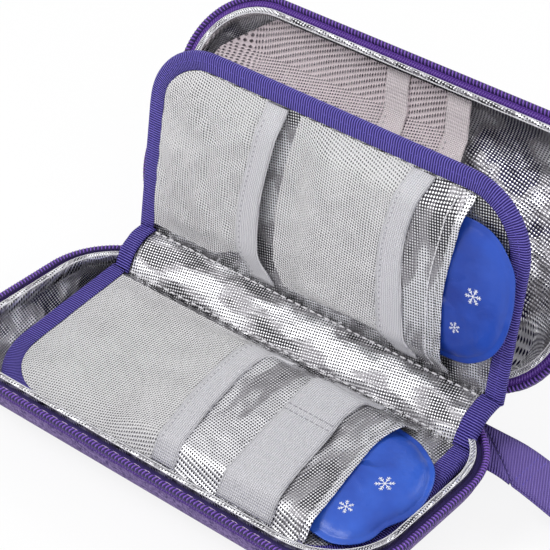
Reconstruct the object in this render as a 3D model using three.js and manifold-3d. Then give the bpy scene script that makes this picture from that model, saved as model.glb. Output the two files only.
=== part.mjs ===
// Insulin cooling case: a soft two-shell travel case with a foil lining, a book-like divider
// with mesh pockets, two gel ice packs, a zip round the rim and a wrist strap.
// Millimetres. +X runs along the hinge, +Y to the hinge side, +Z up.
// The origin is in the flat underside of the bottom shell. The case stands open.
import * as THREE from 'three';
import { mergeVertices } from 'three/addons/utils/BufferGeometryUtils.js';
import Module from 'manifold-3d';

const wasm = await Module();
wasm.setup();

// How finely curves are divided
const wallSteps = 4;
const cornerSteps = 7;
const beadSteps = 5;
const netColumns = 8;
const netRows = 10;
const sheetRows = 13;

// Case
const caseLength = 205;
const caseWidth = 107;
const shellDepth = 25;
const cornerRadius = 35;
const draftDepth = 8;
const draftAngle = THREE.MathUtils.degToRad(17);
const rearEdgeRadius = 7;
const hingeGap = 7;
const lidOpenAngle = THREE.MathUtils.degToRad(123);

// Layers of a shell, and the gap that neighbours keep
const gap = 0.3;
const fabricThickness = 0.9;
const foamThickness = 2.3;
const liningThickness = 0.4;
const fabricTopDrop = 5.1;
const foamTopDrop = 3.0;
const liningTopDrop = 0.3;

// Zip
const tapeThickness = 0.6;
const coilWidth = 1.6;
const coilHeight = 2.1;
const toothPitch = 3.4;
const toothNotch = 0.7;
const partingClearance = 0.55;
const sliderParking = 11.5;
const zipEndClearance = 3;
const gussetThickness = 0.7;
const gussetRiseDrop = 2.4;
const beadRadius = 0.8;

// Divider
const dividerOffset = 1.5;
const leafEndGap = 14;
const leafFrontGap = 13.5;
const upperLeafRise = 8.2;
const upperLeafRadius = 29.5;
const lowerLeafRadius = 26;
const leafHeelRadius = 10;
const leafThickness = 3.2;
const boardThickness = 1.8;
const bindingWidth = 7.5;
const bindingFabric = 0.45;
const bindingClearance = 0.25;
const seamRearGap = 14.5;
const seamDrop = 6;
const lowerLeafTilt = THREE.MathUtils.degToRad(6.3);
const leafSpacing = 2.7;
const spineAngle = THREE.MathUtils.degToRad(36);
const spineEndSetback = 8.5;
const spineBow = 2.6;
const spineThickness = 1.3;
const seamBeadRadius = 0.9;
const tongueThickness = 0.8;
const tongueLength = 3.4;
const upperLeafAngle = THREE.MathUtils.degToRad(85);

// Gel packs
const packTuck = 0.5;
const packEndGap = 3.3;
const packThickness = 6.6;
const packOuterRadius = 20;
const packInnerRadius = 12;
const packFlangeWidth = 5.5;
const packFlangeThickness = 0.8;
const packFlat = 14;
const packShoulderShare = 1.4;
const packBulgeShare = 0.32;
const upperPackSetback = 0.6;
const lowerPackOverhang = 2;
const upperPackSeamDistance = 11.4;
const lowerPackSeamDistance = 7.7;

// Pockets and bands on the leaves
const sheetThickness = 0.5;
const elasticThickness = 0.9;
const elasticWidth = 10;
const meshSeamDistance = 4.5;
const meshBulge = 3;
const lowerMeshBulge = 2;
const meshEdgeRun = 12;
const packClearance = 0.35;
const pocketInset = 1;
const archEdgeRun = 5;
const bandSlopeRun = 15;
const lowerBandSetback = 92.5;
const lowerBandBow = 9;
const upperNetLead = 14.9;
const upperBandBow = 8.2;
const upperMeshGap = 9;
const upperSecondBandSetback = 51.5;
const upperSecondBandBow = 9.5;
const upperMouthSetback = 24.5;
const lowerMouthSetback = 22.5;
const mouthBow = 7;
const penStrapWidth = 22;
const penStrapSetback = 62;
const penStrapBow = 6;
const penStrapThickness = 0.8;

// Pockets in the lid
const lidPocketDepth = 17.5;
const lidMeshEndGap = 20.5;
const lidBandLeftStart = -15;
const lidBandRightStart = 14;
const lidPocketFrontGap = 15;
const lidPocketRearGap = 11.5;
const lidMeshBulge = 2.5;

// Zip slider and its pull tab
const sliderLength = 9;
const sliderPlate = 0.45;
const sliderOuterPlate = 1.1;
const sliderClearance = 0.3;
const sliderOuterClearance = 0.8;
const sliderReach = 1.2;
const sliderBelow = 2.65;
const bailWidth = 1.6;
const bailReach = 2.6;
const bailThickness = 0.7;
const bailHeight = 4;
const tabLength = 19;
const tabWidth = 6.5;
const tabThickness = 1.1;
const tabEyeWidth = 3.4;
const tabEyeLength = 2.6;
const tabEyeGap = 0.5;
const tabEyeBar = 1.1;

// Wrist strap
const strapWidth = 20;
const strapPastCorner = 18.5;
const strapDrop = 7.6;
const strapThickness = 2.4;
const strapFloorGap = 0.3;
const strapLength = 133.5;
const strapSlit = 0.6;
const strapLoopHeight = 4.2;
const strapLoopLength = 16;
const strapLevelRun = 3.5;
const strapFallRun = 54;
const strapHingeOffset = 5;
const strapSewnReach = 10.5;

const halfLength = caseLength / 2;
const halfWidth = caseWidth / 2;
const hingeY = halfWidth + hingeGap / 2;
const cornerX = halfLength - cornerRadius;
const cornerY = halfWidth - cornerRadius;
const foamOffset = fabricThickness + gap;
const liningOffset = foamOffset + foamThickness + gap;
const wallThickness = liningOffset + liningThickness;
const gussetLength = 2 * (cornerX - sliderParking);

// Places and sizes of the divider, fitted between the rims
const seamY = halfWidth - seamRearGap;
const seamZ = shellDepth - seamDrop;
const leafLength = caseLength - 2 * leafEndGap;
const leafHalf = leafLength / 2;
const lowerLeafHeight = (seamY + halfWidth - leafFrontGap) / Math.cos(lowerLeafTilt);
const upperLeafHeight = lowerLeafHeight + upperLeafRise;
const spineHalfWidth = leafHalf - spineEndSetback;
const faceHeight = boardThickness / 2 + gap;
const archHeight = faceHeight + packThickness + packClearance;
const spineLength = 2 * (archHeight + elasticThickness) + leafSpacing;
const lowerBandLeft = leafHalf - lowerBandSetback;
const lowerBandEnd = lowerBandLeft + elasticWidth;
const upperSecondBandLeft = leafHalf - upperSecondBandSetback;
const lowerPackRight = leafHalf + lowerPackOverhang;
const upperPackRight = leafHalf - upperPackSetback;
const packLength = lowerPackRight - (lowerBandEnd - packTuck);
const upperMeshRightStart = upperPackRight - packLength - upperNetLead;
const upperBandLeft = upperMeshRightStart - upperMeshGap - elasticWidth;
const packHeight = lowerLeafHeight - bindingWidth - pocketInset - lowerPackSeamDistance - packEndGap;

const { smoothstep, lerp } = THREE.MathUtils;

// Materials
function cloth(colour, roughness, metalness = 0) {
  return new THREE.MeshStandardMaterial({ color: colour, roughness, metalness });
}
const purpleOxford = cloth(0x69509a, 0.85);
const purpleTape = cloth(0x55329a, 0.7);
const coilPlastic = cloth(0x3d1a7c, 0.4);
const bindingGrosgrain = cloth(0x4b3fb0, 0.75);
const strapWebbing = cloth(0x735aba, 0.75);
const foilFabric = cloth(0xc4c6ca, 0.28, 0.8);
const insulationFoam = cloth(0xe6e6e2, 0.9);
const whiteMesh = cloth(0xc9c9ce, 0.8);
const greyElastic = cloth(0xcfcfd6, 0.8);
const gelBlue = cloth(0x2f5cc4, 0.35);
const zipMetal = cloth(0x4a3a86, 0.35, 0.6);

// Solids from points

function signedVolume(points, triangles) {
  let volume = 0;
  for (const [a, b, c] of triangles) {
    const [p, q, r] = [points[a], points[b], points[c]];
    volume += p.dot(new THREE.Vector3().crossVectors(q, r));
  }
  return volume;
}

// One closed body whose faces point out, whichever way its triangles were listed
function body(points, triangles) {
  const turned = signedVolume(points, triangles) < 0;
  const index = triangles.flatMap(([a, b, c]) => (turned ? [a, c, b] : [a, b, c]));
  const geometry = new THREE.BufferGeometry();
  const numbers = points.flatMap((point) => point.toArray());
  geometry.setAttribute('position', new THREE.Float32BufferAttribute(numbers, 3));
  geometry.setIndex(index);
  return geometry;
}

// Skin through rings with the same number of points, closed by a flat cap at each end
function loft(rings) {
  const count = rings[0].length;
  const triangles = [];
  for (let r = 0; r + 1 < rings.length; r += 1) {
    for (let i = 0; i < count; i += 1) {
      const a = r * count + i;
      const b = r * count + ((i + 1) % count);
      triangles.push([a, b, b + count], [a, b + count, a + count]);
    }
  }
  const last = (rings.length - 1) * count;
  for (let i = 1; i + 1 < count; i += 1) {
    triangles.push([0, i + 1, i], [last, last + i, last + i + 1]);
  }
  return body(rings.flat(), triangles);
}

// Curved sheet: place(column, row, face) gives a point of its upper (0) or lower (1) face
function sheet(columns, rows, place) {
  const points = [];
  const triangles = [];
  const at = (column, row, face) => (column * (rows + 1) + row) * 2 + face;
  for (let c = 0; c <= columns; c += 1) {
    for (let r = 0; r <= rows; r += 1) {
      points.push(place(c / columns, r / rows, 0), place(c / columns, r / rows, 1));
    }
  }
  const quad = (a, b, c, d) => triangles.push([a, b, c], [a, c, d]);
  for (let c = 0; c < columns; c += 1) {
    for (let r = 0; r < rows; r += 1) {
      quad(at(c, r, 0), at(c + 1, r, 0), at(c + 1, r + 1, 0), at(c, r + 1, 0));
      quad(at(c, r, 1), at(c, r + 1, 1), at(c + 1, r + 1, 1), at(c + 1, r, 1));
    }
  }
  for (let c = 0; c < columns; c += 1) {
    quad(at(c, 0, 0), at(c, 0, 1), at(c + 1, 0, 1), at(c + 1, 0, 0));
    quad(at(c, rows, 0), at(c + 1, rows, 0), at(c + 1, rows, 1), at(c, rows, 1));
  }
  for (let r = 0; r < rows; r += 1) {
    quad(at(0, r, 0), at(0, r + 1, 0), at(0, r + 1, 1), at(0, r, 1));
    quad(at(columns, r, 0), at(columns, r, 1), at(columns, r + 1, 1), at(columns, r + 1, 0));
  }
  return body(points, triangles);
}

// Flat outline in X and Y, thick from low to high in Z
function plate(shape, low, high, curveSegments = 6) {
  const options = { depth: high - low, bevelEnabled: false, curveSegments };
  const geometry = new THREE.ExtrudeGeometry(shape, options);
  return geometry.translate(0, 0, low);
}

// Outline in Y and Z, long from left to right in X
function bar(shape, left, right, curveSegments = 6) {
  const geometry = plate(shape, left, right, curveSegments);
  return geometry.applyMatrix4(new THREE.Matrix4().set(0, 0, 1, 0, 1, 0, 0, 0, 0, 1, 0, 0, 0, 0, 0, 1));
}

// Corners of an upright rectangle, counter-clockwise
function box2(x0, x1, y0, y1) {
  return [
    new THREE.Vector2(x0, y0),
    new THREE.Vector2(x1, y0),
    new THREE.Vector2(x1, y1),
    new THREE.Vector2(x0, y1),
  ];
}

function block(x0, x1, y0, y1, z0, z1) {
  return plate(new THREE.Shape(box2(x0, x1, y0, y1)), z0, z1);
}

function solid(geometry) {
  const bare = geometry.clone();
  for (const name of ['normal', 'uv']) {
    bare.deleteAttribute(name);
  }
  const merged = mergeVertices(bare);
  const mesh = new wasm.Mesh({
    numProp: 3,
    vertProperties: new Float32Array(merged.attributes.position.array),
    triVerts: new Uint32Array(merged.index.array),
  });
  mesh.merge();
  return new wasm.Manifold(mesh);
}

function geometryOf(manifold) {
  const mesh = manifold.getMesh();
  const geometry = new THREE.BufferGeometry();
  geometry.setAttribute('position', new THREE.Float32BufferAttribute(mesh.vertProperties, 3));
  geometry.setIndex(Array.from(mesh.triVerts));
  return geometry;
}

function piece(parent, name, geometry, material) {
  const mesh = new THREE.Mesh(geometry, material);
  mesh.name = name;
  parent.add(mesh);
  return mesh;
}

// Walls of a shell
// A wall point lies at a drop below the rim plane and an inset from the rim's outline.
// Front and side walls lean in and round under; the hinge-side wall stands upright.

const wallArcRadius = (shellDepth - draftDepth) / (1 - Math.sin(draftAngle));

function sideWallPoint(step, offset) {
  const angle = lerp(draftAngle, Math.PI / 2, (step - 1) / wallSteps);
  const across = Math.cos(draftAngle) - Math.cos(angle);
  return {
    drop: draftDepth + wallArcRadius * (Math.sin(angle) - Math.sin(draftAngle)) - offset * Math.sin(angle),
    inset: draftDepth * Math.tan(draftAngle) + wallArcRadius * across + offset * Math.cos(angle),
  };
}

function rearWallPoint(step, offset) {
  const angle = (Math.PI / 2) * ((step - 1) / wallSteps);
  return {
    drop: shellDepth - rearEdgeRadius + (rearEdgeRadius - offset) * Math.sin(angle),
    inset: rearEdgeRadius - (rearEdgeRadius - offset) * Math.cos(angle),
  };
}

// Inset of the straight top of the wall, which leans less towards the hinge side
function straightInset(drop, offset, share) {
  const lean = lerp(draftDepth * Math.tan(draftAngle), 0, share);
  const slope = lean / lerp(draftDepth, shellDepth - rearEdgeRadius, share);
  return drop * slope + offset * Math.hypot(1, slope);
}

// How far a direction round the rim belongs to the hinge-side wall, from 0 to 1
function rearShare(angle) {
  const up = Math.sin(angle);
  return up > 0 ? smoothstep(Math.atan2(up, Math.abs(Math.cos(angle))), 0, Math.PI / 2) : 0;
}

const corners = [[1, 1, 0], [-1, 1, 1], [-1, -1, 2], [1, -1, 3]];

function wallRing(step, offset, topDrop) {
  const side = sideWallPoint(step, offset);
  const rear = rearWallPoint(step, offset);
  const ring = [];
  for (const [signX, signY, quarter] of corners) {
    for (let i = 0; i <= cornerSteps; i += 1) {
      const angle = (quarter + i / cornerSteps) * (Math.PI / 2);
      const share = rearShare(angle);
      const onTop = step === 0;
      const inset = onTop ? straightInset(topDrop, offset, share) : lerp(side.inset, rear.inset, share);
      const drop = onTop ? topDrop : lerp(side.drop, rear.drop, share);
      const radius = cornerRadius - inset;
      ring.push(new THREE.Vector3(
        signX * cornerX + radius * Math.cos(angle),
        signY * cornerY + radius * Math.sin(angle),
        shellDepth - drop,
      ));
    }
  }
  return ring;
}

// Open tray between two offsets from the outer surface
function tray(outerOffset, innerOffset, topDrop) {
  const rings = [];
  for (let step = wallSteps + 1; step >= 0; step -= 1) {
    rings.push(wallRing(step, outerOffset, topDrop));
  }
  for (let step = 0; step <= wallSteps + 1; step += 1) {
    rings.push(wallRing(step, innerOffset, topDrop));
  }
  return loft(rings);
}

// Everything inside one offset of the wall, up to the rim plane
function room(offset) {
  const rings = [];
  for (let step = wallSteps + 1; step >= 0; step -= 1) {
    rings.push(wallRing(step, offset, 0));
  }
  return solid(loft(rings));
}

// Zip
// The rim's outline from one end of the gusset round the front to the other end

const zipEndX = gussetLength / 2 + zipEndClearance;
const rimPath = new THREE.Path();
rimPath.moveTo(zipEndX, halfWidth);
rimPath.lineTo(cornerX, halfWidth);
rimPath.absarc(cornerX, cornerY, cornerRadius, Math.PI / 2, 0, true);
rimPath.lineTo(halfLength, -cornerY);
rimPath.absarc(cornerX, -cornerY, cornerRadius, 0, -Math.PI / 2, true);
rimPath.lineTo(-cornerX, -halfWidth);
rimPath.absarc(-cornerX, -cornerY, cornerRadius, -Math.PI / 2, -Math.PI, true);
rimPath.lineTo(-halfLength, cornerY);
rimPath.absarc(-cornerX, cornerY, cornerRadius, Math.PI, Math.PI / 2, true);
rimPath.lineTo(-zipEndX, halfWidth);

// Section of a rim strip: corners given as drop and offset, at one place along the rim
function rimSection(along, section) {
  const point = rimPath.getPointAt(along);
  const tangent = rimPath.getTangentAt(along);
  const outward = new THREE.Vector2(-tangent.y, tangent.x);
  const share = rearShare(Math.atan2(outward.y, outward.x));
  return section.map(({ drop, offset }) => {
    const inset = straightInset(drop, offset, share);
    return new THREE.Vector3(point.x - outward.x * inset, point.y - outward.y * inset, shellDepth - drop);
  });
}

function rectangle(topDrop, bottomDrop, outerOffset, innerOffset) {
  return [
    { drop: topDrop, offset: outerOffset },
    { drop: topDrop, offset: innerOffset },
    { drop: bottomDrop, offset: innerOffset },
    { drop: bottomDrop, offset: outerOffset },
  ];
}

// Places along the rim that follow its straights and arcs with few steps
function rimPlaces() {
  const total = rimPath.getLength();
  const places = [0];
  let run = 0;
  for (const curve of rimPath.curves) {
    const parts = curve.isEllipseCurve ? 2 * cornerSteps : 1;
    const length = curve.getLength();
    for (let i = 1; i <= parts; i += 1) {
      places.push(Math.min(1, (run + (length * i) / parts) / total));
    }
    run += length;
  }
  return places;
}

function zipTape() {
  const section = rectangle(partingClearance, fabricTopDrop - gap, 0, tapeThickness);
  return loft(rimPlaces().map((place) => rimSection(place, section)));
}

// The coil is one ribbon whose top and inner side run in and out as teeth
function zipCoil() {
  const outer = tapeThickness + gap;
  const bottom = partingClearance + coilHeight;
  const tooth = rectangle(partingClearance, bottom, outer, outer + coilWidth);
  const notch = rectangle(partingClearance + toothNotch, bottom, outer, outer + coilWidth - toothNotch);
  const steps = 2 * Math.round(rimPath.getLength() / toothPitch);
  const rings = [];
  for (let i = 0; i <= steps; i += 1) {
    rings.push(rimSection(i / steps, i % 2 === 0 ? tooth : notch));
  }
  return loft(rings);
}

// Band of even thickness along a line of points in Y and Z, as an outline
function bandOutline(line, thickness) {
  const left = [];
  const right = [];
  line.forEach((point, i) => {
    const before = line[Math.max(i - 1, 0)];
    const after = line[Math.min(i + 1, line.length - 1)];
    const along = new THREE.Vector2().subVectors(after, before).normalize();
    const across = new THREE.Vector2(-along.y, along.x).multiplyScalar(thickness / 2);
    left.push(point.clone().add(across));
    right.unshift(point.clone().sub(across));
  });
  return new THREE.Shape([...left, ...right]);
}

function disc(y, z, radius) {
  const shape = new THREE.Shape();
  shape.absarc(y, z, radius, 0, 2 * Math.PI, false);
  return shape;
}

// Hinge gusset: each half is sewn to its shell's hinge-side wall and rises to the fold.
// The lower half carries the fold's rounded edge, and the upper one meets it.
function gussetHalf(up, withBead) {
  const wallY = halfWidth - gussetThickness / 2;
  const short = withBead ? 0 : beadRadius + gap;
  const reach = new THREE.Vector2(wallY - hingeY, -gussetRiseDrop).setLength(short);
  const line = [
    new THREE.Vector2(wallY, shellDepth - (fabricTopDrop - gap)),
    new THREE.Vector2(wallY, shellDepth - gussetRiseDrop),
    new THREE.Vector2(hingeY + reach.x, shellDepth + reach.y),
  ];
  for (const point of line) {
    point.y = shellDepth + up * (shellDepth - point.y);
  }
  const half = gussetLength / 2;
  const band = solid(bar(bandOutline(line, gussetThickness), -half, half));
  if (!withBead) {
    return geometryOf(band);
  }
  const bead = solid(bar(disc(hingeY, shellDepth, beadRadius), -half, half, beadSteps));
  return geometryOf(band.add(bead));
}

// The five nodes that both shells are sewn from
function shellPieces(parent, prefix) {
  piece(parent, `${prefix}_outer_shell`, tray(0, fabricThickness, fabricTopDrop), purpleOxford);
  const foam = tray(foamOffset, foamOffset + foamThickness, foamTopDrop);
  piece(parent, `${prefix}_insulation_foam`, foam, insulationFoam);
  piece(parent, `${prefix}_foil_lining`, tray(liningOffset, wallThickness, liningTopDrop), foilFabric);
  piece(parent, `${prefix}_zip_tape`, zipTape(), purpleTape);
  piece(parent, `${prefix}_zip_coil`, zipCoil(), coilPlastic);
}

const model = new THREE.Group();

// Bottom shell
const bottomShell = new THREE.Group();
model.add(bottomShell);
shellPieces(bottomShell, 'bottom');
piece(bottomShell, 'hinge_gusset_lower', gussetHalf(-1, true), purpleOxford);

// Lid: the same shell turned over the rim plane, then opened about the hinge line
const lid = new THREE.Group();
lid.position.set(0, hingeY, shellDepth);
lid.rotation.x = -lidOpenAngle;
model.add(lid);
const lidClosed = new THREE.Group();
lidClosed.position.set(0, -hingeY, -shellDepth);
lid.add(lidClosed);
shellPieces(lidClosed, 'lid');
// Lid pockets: mesh sheets across the lid's hollow, each mouth edged with elastic
const lidRoom = room(wallThickness + gap);
function lidSheet(name, left, right, thickness, material) {
  const flat = sheet(4, 6, (u, v, face) => {
    const x = lerp(left, right, u);
    const y = lerp(lidPocketFrontGap - halfWidth, halfWidth - lidPocketRearGap, v);
    const rise = lidMeshBulge * Math.sin(Math.PI * v);
    return new THREE.Vector3(x, y, shellDepth - lidPocketDepth + rise + (face === 0 ? thickness : 0));
  });
  piece(lidClosed, name, geometryOf(solid(flat).intersect(lidRoom)), material);
}
const lidBandLeftEnd = lidBandLeftStart + elasticWidth;
const lidMeshStart = lidMeshEndGap - halfLength;
lidSheet('lid_mesh_pocket_left', lidMeshStart, lidBandLeftStart - gap, sheetThickness, whiteMesh);
lidSheet('lid_elastic_left', lidBandLeftStart, lidBandLeftEnd, elasticThickness, greyElastic);
lidSheet('lid_mesh_pocket_right', lidBandLeftEnd + gap, lidBandRightStart - gap, sheetThickness, whiteMesh);
const lidBandRightEnd = lidBandRightStart + elasticWidth;
lidSheet('lid_elastic_right', lidBandRightStart, lidBandRightEnd, elasticThickness, greyElastic);

// All of it is drawn as in the bottom shell and mirrored in the rim plane
for (const mesh of lidClosed.children) {
  const position = mesh.geometry.attributes.position;
  for (let i = 0; i < position.count; i += 1) {
    position.setZ(i, 2 * shellDepth - position.getZ(i));
  }
  const index = mesh.geometry.index.array;
  for (let i = 0; i < index.length; i += 3) {
    [index[i + 1], index[i + 2]] = [index[i + 2], index[i + 1]];
  }
}
piece(lidClosed, 'hinge_gusset_upper', gussetHalf(1, false), purpleOxford);

// Divider
const leafInnerEdge = leafHalf - bindingWidth - gap;

// A leaf is drawn with its seam on the X axis and its free edge towards -Y.
// Its pocket face is up on the lower leaf (side 1) and down on the upper leaf (side -1).

function leafShape(height, radius, inset, seamEdge) {
  const half = leafHalf - inset;
  const free = height - inset;
  const round = radius - inset;
  const heel = Math.max(leafHeelRadius - inset, gap);
  const shape = new THREE.Shape();
  shape.moveTo(half - heel, -seamEdge);
  shape.absarc(half - heel, -seamEdge - heel, heel, Math.PI / 2, 0, true);
  shape.absarc(half - round, -free + round, round, 0, -Math.PI / 2, true);
  shape.absarc(-half + round, -free + round, round, -Math.PI / 2, -Math.PI, true);
  shape.absarc(-half + heel, -seamEdge - heel, heel, Math.PI, Math.PI / 2, true);
  shape.closePath();
  return shape;
}

// Foil-faced board with a thin tongue that reaches the seam
function leafBoard(height, radius) {
  const inset = bindingFabric + bindingClearance;
  const outline = leafShape(height, radius, inset, tongueLength);
  const board = solid(plate(outline, -boardThickness / 2, boardThickness / 2));
  const tongueHalf = leafHalf - leafHeelRadius;
  const tongueStart = -(seamBeadRadius + gap);
  const tongue = solid(block(-tongueHalf, tongueHalf, -tongueLength - gap, tongueStart,
    -tongueThickness / 2, tongueThickness / 2));
  return geometryOf(board.add(tongue));
}

// Grosgrain tape folded over the board's edge on three sides
function leafBinding(height, radius) {
  const slotInset = bindingFabric;
  const slotHalf = boardThickness / 2 + bindingClearance;
  const outline = leafShape(height, radius, 0, tongueLength);
  const outer = solid(plate(outline, -leafThickness / 2, leafThickness / 2));
  const slotOutline = leafShape(height, radius, slotInset, tongueLength - gap);
  const slot = solid(plate(slotOutline, -slotHalf, slotHalf));
  const windowOutline = leafShape(height, radius, bindingWidth, -leafThickness);
  const window = solid(plate(windowOutline, -leafThickness, leafThickness));
  return geometryOf(outer.subtract(window).subtract(slot));
}

// Sheet on a leaf's pocket face: height(x, distance) is that of its underside over the mid plane,
// and each edge gives its x at a distance from the seam
function leafSheet(side, edges, ends, height, thickness, columns, rows) {
  return sheet(columns, rows, (u, v, face) => {
    const distance = lerp(ends[0], ends[1], v);
    const x = lerp(edges[0](distance), edges[1](distance), u);
    const up = height(x, distance) + (face === 0 ? thickness : 0);
    return new THREE.Vector3(x, -distance, side * up);
  });
}

// Inner edge of a leaf's left binding, which rounds its free corner
function besideBinding(pocketEnd, radius) {
  const round = radius - bindingWidth;
  return (distance) => {
    const far = Math.max(0, distance - (pocketEnd - round));
    return -leafInnerEdge + round - Math.sqrt(Math.max(0, round * round - far * far));
  };
}

// Height of a flat arch of height 1, at a share of its span
function crown(share) {
  return 4 * share * (1 - share);
}

// Edge that bows to the left between its two sewn ends
function bowedEdge(x, bow, ends) {
  return (distance) => x - bow * crown((distance - ends[0]) / (ends[1] - ends[0]));
}

// Rise from 0 at both ends of a run to 1 inside it
function arch(value, start, end, run) {
  const nearest = Math.min(value - start, end - value);
  return smoothstep(nearest, 0, run);
}

// Gel pack: a pillow with a thin welded flange round its edge
function packRing(left, right, near, inset, height, side) {
  const points = [];
  for (const [signX, signY, quarter] of corners) {
    const edge = signX > 0 ? right : left;
    const radius = signX > 0 ? packOuterRadius : packInnerRadius;
    const round = Math.max(radius - inset, packFlangeThickness);
    const centreX = edge - signX * (inset + round);
    const end = signY > 0 ? -near : -near - packHeight;
    const centreY = end - signY * (inset + round);
    for (let i = 0; i <= cornerSteps; i += 1) {
      const angle = (quarter + i / cornerSteps) * (Math.PI / 2);
      const x = centreX + round * Math.cos(angle);
      const y = centreY + round * Math.sin(angle);
      points.push(new THREE.Vector3(x, y, side * height));
    }
  }
  return points;
}

function gelPack(side, right, near) {
  const left = right - packLength;
  const low = faceHeight;
  const high = faceHeight + packThickness;
  const middle = (low + high) / 2;
  const lip = packFlangeThickness / 2;
  const shoulder = packFlangeWidth * packShoulderShare;
  const bulge = packThickness * packBulgeShare;
  const rings = [
    [packFlat, low],
    [shoulder, low + packThickness / 2 - bulge],
    [packFlangeWidth, middle - lip],
    [0, middle - lip],
    [0, middle + lip],
    [packFlangeWidth, middle + lip],
    [shoulder, high - packThickness / 2 + bulge],
    [packFlat, high],
  ];
  return loft(rings.map(([inset, height]) => packRing(left, right, near, inset, height, side)));
}

// Lower leaf, resting on the front wall of the bottom shell
const lowerLeaf = new THREE.Group();
lowerLeaf.position.set(dividerOffset, seamY, seamZ);
lowerLeaf.rotation.x = lowerLeafTilt;
model.add(lowerLeaf);

const lowerPocketEnd = lowerLeafHeight - bindingWidth - pocketInset;
const lowerEnds = [meshSeamDistance, lowerPocketEnd];

function lowerArch(x, distance) {
  const over = arch(distance, ...lowerEnds, archEdgeRun);
  return lerp(faceHeight, archHeight, over);
}

const lowerNetEnd = bowedEdge(lowerBandLeft - gap, lowerBandBow, lowerEnds);

function lowerMesh(x, distance) {
  const end = lowerNetEnd(distance);
  const slope = smoothstep(x, end - bandSlopeRun, end);
  const flat = faceHeight + lowerMeshBulge * arch(distance, ...lowerEnds, meshEdgeRun)
    * arch(x, -leafInnerEdge, end + meshEdgeRun, meshEdgeRun);
  return lerp(flat, lowerArch(x, distance), slope);
}

piece(lowerLeaf, 'lower_leaf_board', leafBoard(lowerLeafHeight, lowerLeafRadius), foilFabric);
piece(lowerLeaf, 'lower_leaf_binding', leafBinding(lowerLeafHeight, lowerLeafRadius), bindingGrosgrain);
const lowerNetEdges = [besideBinding(lowerPocketEnd, lowerLeafRadius), lowerNetEnd];
const lowerNet = leafSheet(1, lowerNetEdges, lowerEnds, lowerMesh, sheetThickness, netColumns, netRows);
piece(lowerLeaf, 'lower_mesh_pocket', lowerNet, whiteMesh);
const lowerBandEdges = [lowerBandLeft, lowerBandEnd].map((x) => bowedEdge(x, lowerBandBow, lowerEnds));
const lowerBand = leafSheet(1, lowerBandEdges, lowerEnds, lowerArch, elasticThickness, 1, sheetRows);
piece(lowerLeaf, 'lower_elastic_band', lowerBand, greyElastic);
const lowerPocketEdges = [
  bowedEdge(lowerBandEnd + gap, lowerBandBow, lowerEnds),
  bowedEdge(leafHalf - lowerMouthSetback, mouthBow, lowerEnds),
];
const lowerPocket = leafSheet(1, lowerPocketEdges, lowerEnds, lowerArch, sheetThickness, 1, sheetRows);
piece(lowerLeaf, 'lower_pack_pocket', lowerPocket, foilFabric);
const overPocket = (x, distance) => lowerArch(x, distance) + sheetThickness + gap;
const penStrapLeft = leafHalf - penStrapSetback;
const penStrapSides = [penStrapLeft, penStrapLeft + penStrapWidth];
const penStrapEdges = penStrapSides.map((x) => bowedEdge(x, penStrapBow, lowerEnds));
const penStrap = leafSheet(1, penStrapEdges, lowerEnds, overPocket, penStrapThickness, 1, sheetRows);
piece(lowerLeaf, 'pen_strap', penStrap, greyElastic);
piece(lowerLeaf, 'lower_ice_pack', gelPack(1, lowerPackRight, lowerPackSeamDistance), gelBlue);

// Spine: a bowed strip between two seams, with the grosgrain carried across at its ends
const spine = new THREE.Group();
spine.position.set(dividerOffset, seamY, seamZ);
spine.rotation.x = spineAngle;
model.add(spine);

function spineLine(start, end) {
  const line = [];
  const steps = 8;
  for (let i = 0; i <= steps; i += 1) {
    const along = lerp(start, end, i / steps);
    const share = along / spineLength;
    line.push(new THREE.Vector2(along, spineBow * crown(share)));
  }
  return line;
}

const spineStripHalf = spineHalfWidth - bindingWidth;
const stripOutline = bandOutline(spineLine(0, spineLength), spineThickness);
let strip = solid(bar(stripOutline, -spineStripHalf, spineStripHalf));
for (const seam of [0, spineLength]) {
  strip = strip.add(solid(bar(disc(seam, 0, seamBeadRadius), -spineStripHalf, spineStripHalf, beadSteps)));
}
piece(spine, 'spine_strip', geometryOf(strip), foilFabric);
const spineBindingLine = spineLine(tongueLength, spineLength - tongueLength);
for (const [name, left] of [['left', -spineHalfWidth], ['right', spineStripHalf + gap]]) {
  const outline = bandOutline(spineBindingLine, spineThickness + 2 * gap);
  piece(spine, `spine_binding_${name}`, bar(outline, left, left + bindingWidth - gap), bindingGrosgrain);
}

// Upper leaf, standing at the far seam
const upperLeaf = new THREE.Group();
upperLeaf.position.set(
  dividerOffset,
  seamY + spineLength * Math.cos(spineAngle),
  seamZ + spineLength * Math.sin(spineAngle),
);
upperLeaf.rotation.x = upperLeafAngle - Math.PI;
model.add(upperLeaf);

const upperPocketEnd = upperLeafHeight - bindingWidth - pocketInset;
const upperEnds = [meshSeamDistance, upperPocketEnd];

function upperArch(x, distance) {
  return lerp(faceHeight, archHeight, arch(distance, ...upperEnds, archEdgeRun));
}

function upperMeshLeft(x, distance) {
  return faceHeight + meshBulge * arch(distance, ...upperEnds, meshEdgeRun)
    * smoothstep(x, -leafInnerEdge, -leafInnerEdge + meshEdgeRun);
}

function upperMeshRight(x, distance) {
  const slope = smoothstep(x, upperMeshRightStart, upperMeshRightStart + archEdgeRun);
  return lerp(faceHeight, upperArch(x, distance), slope);
}

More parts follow.
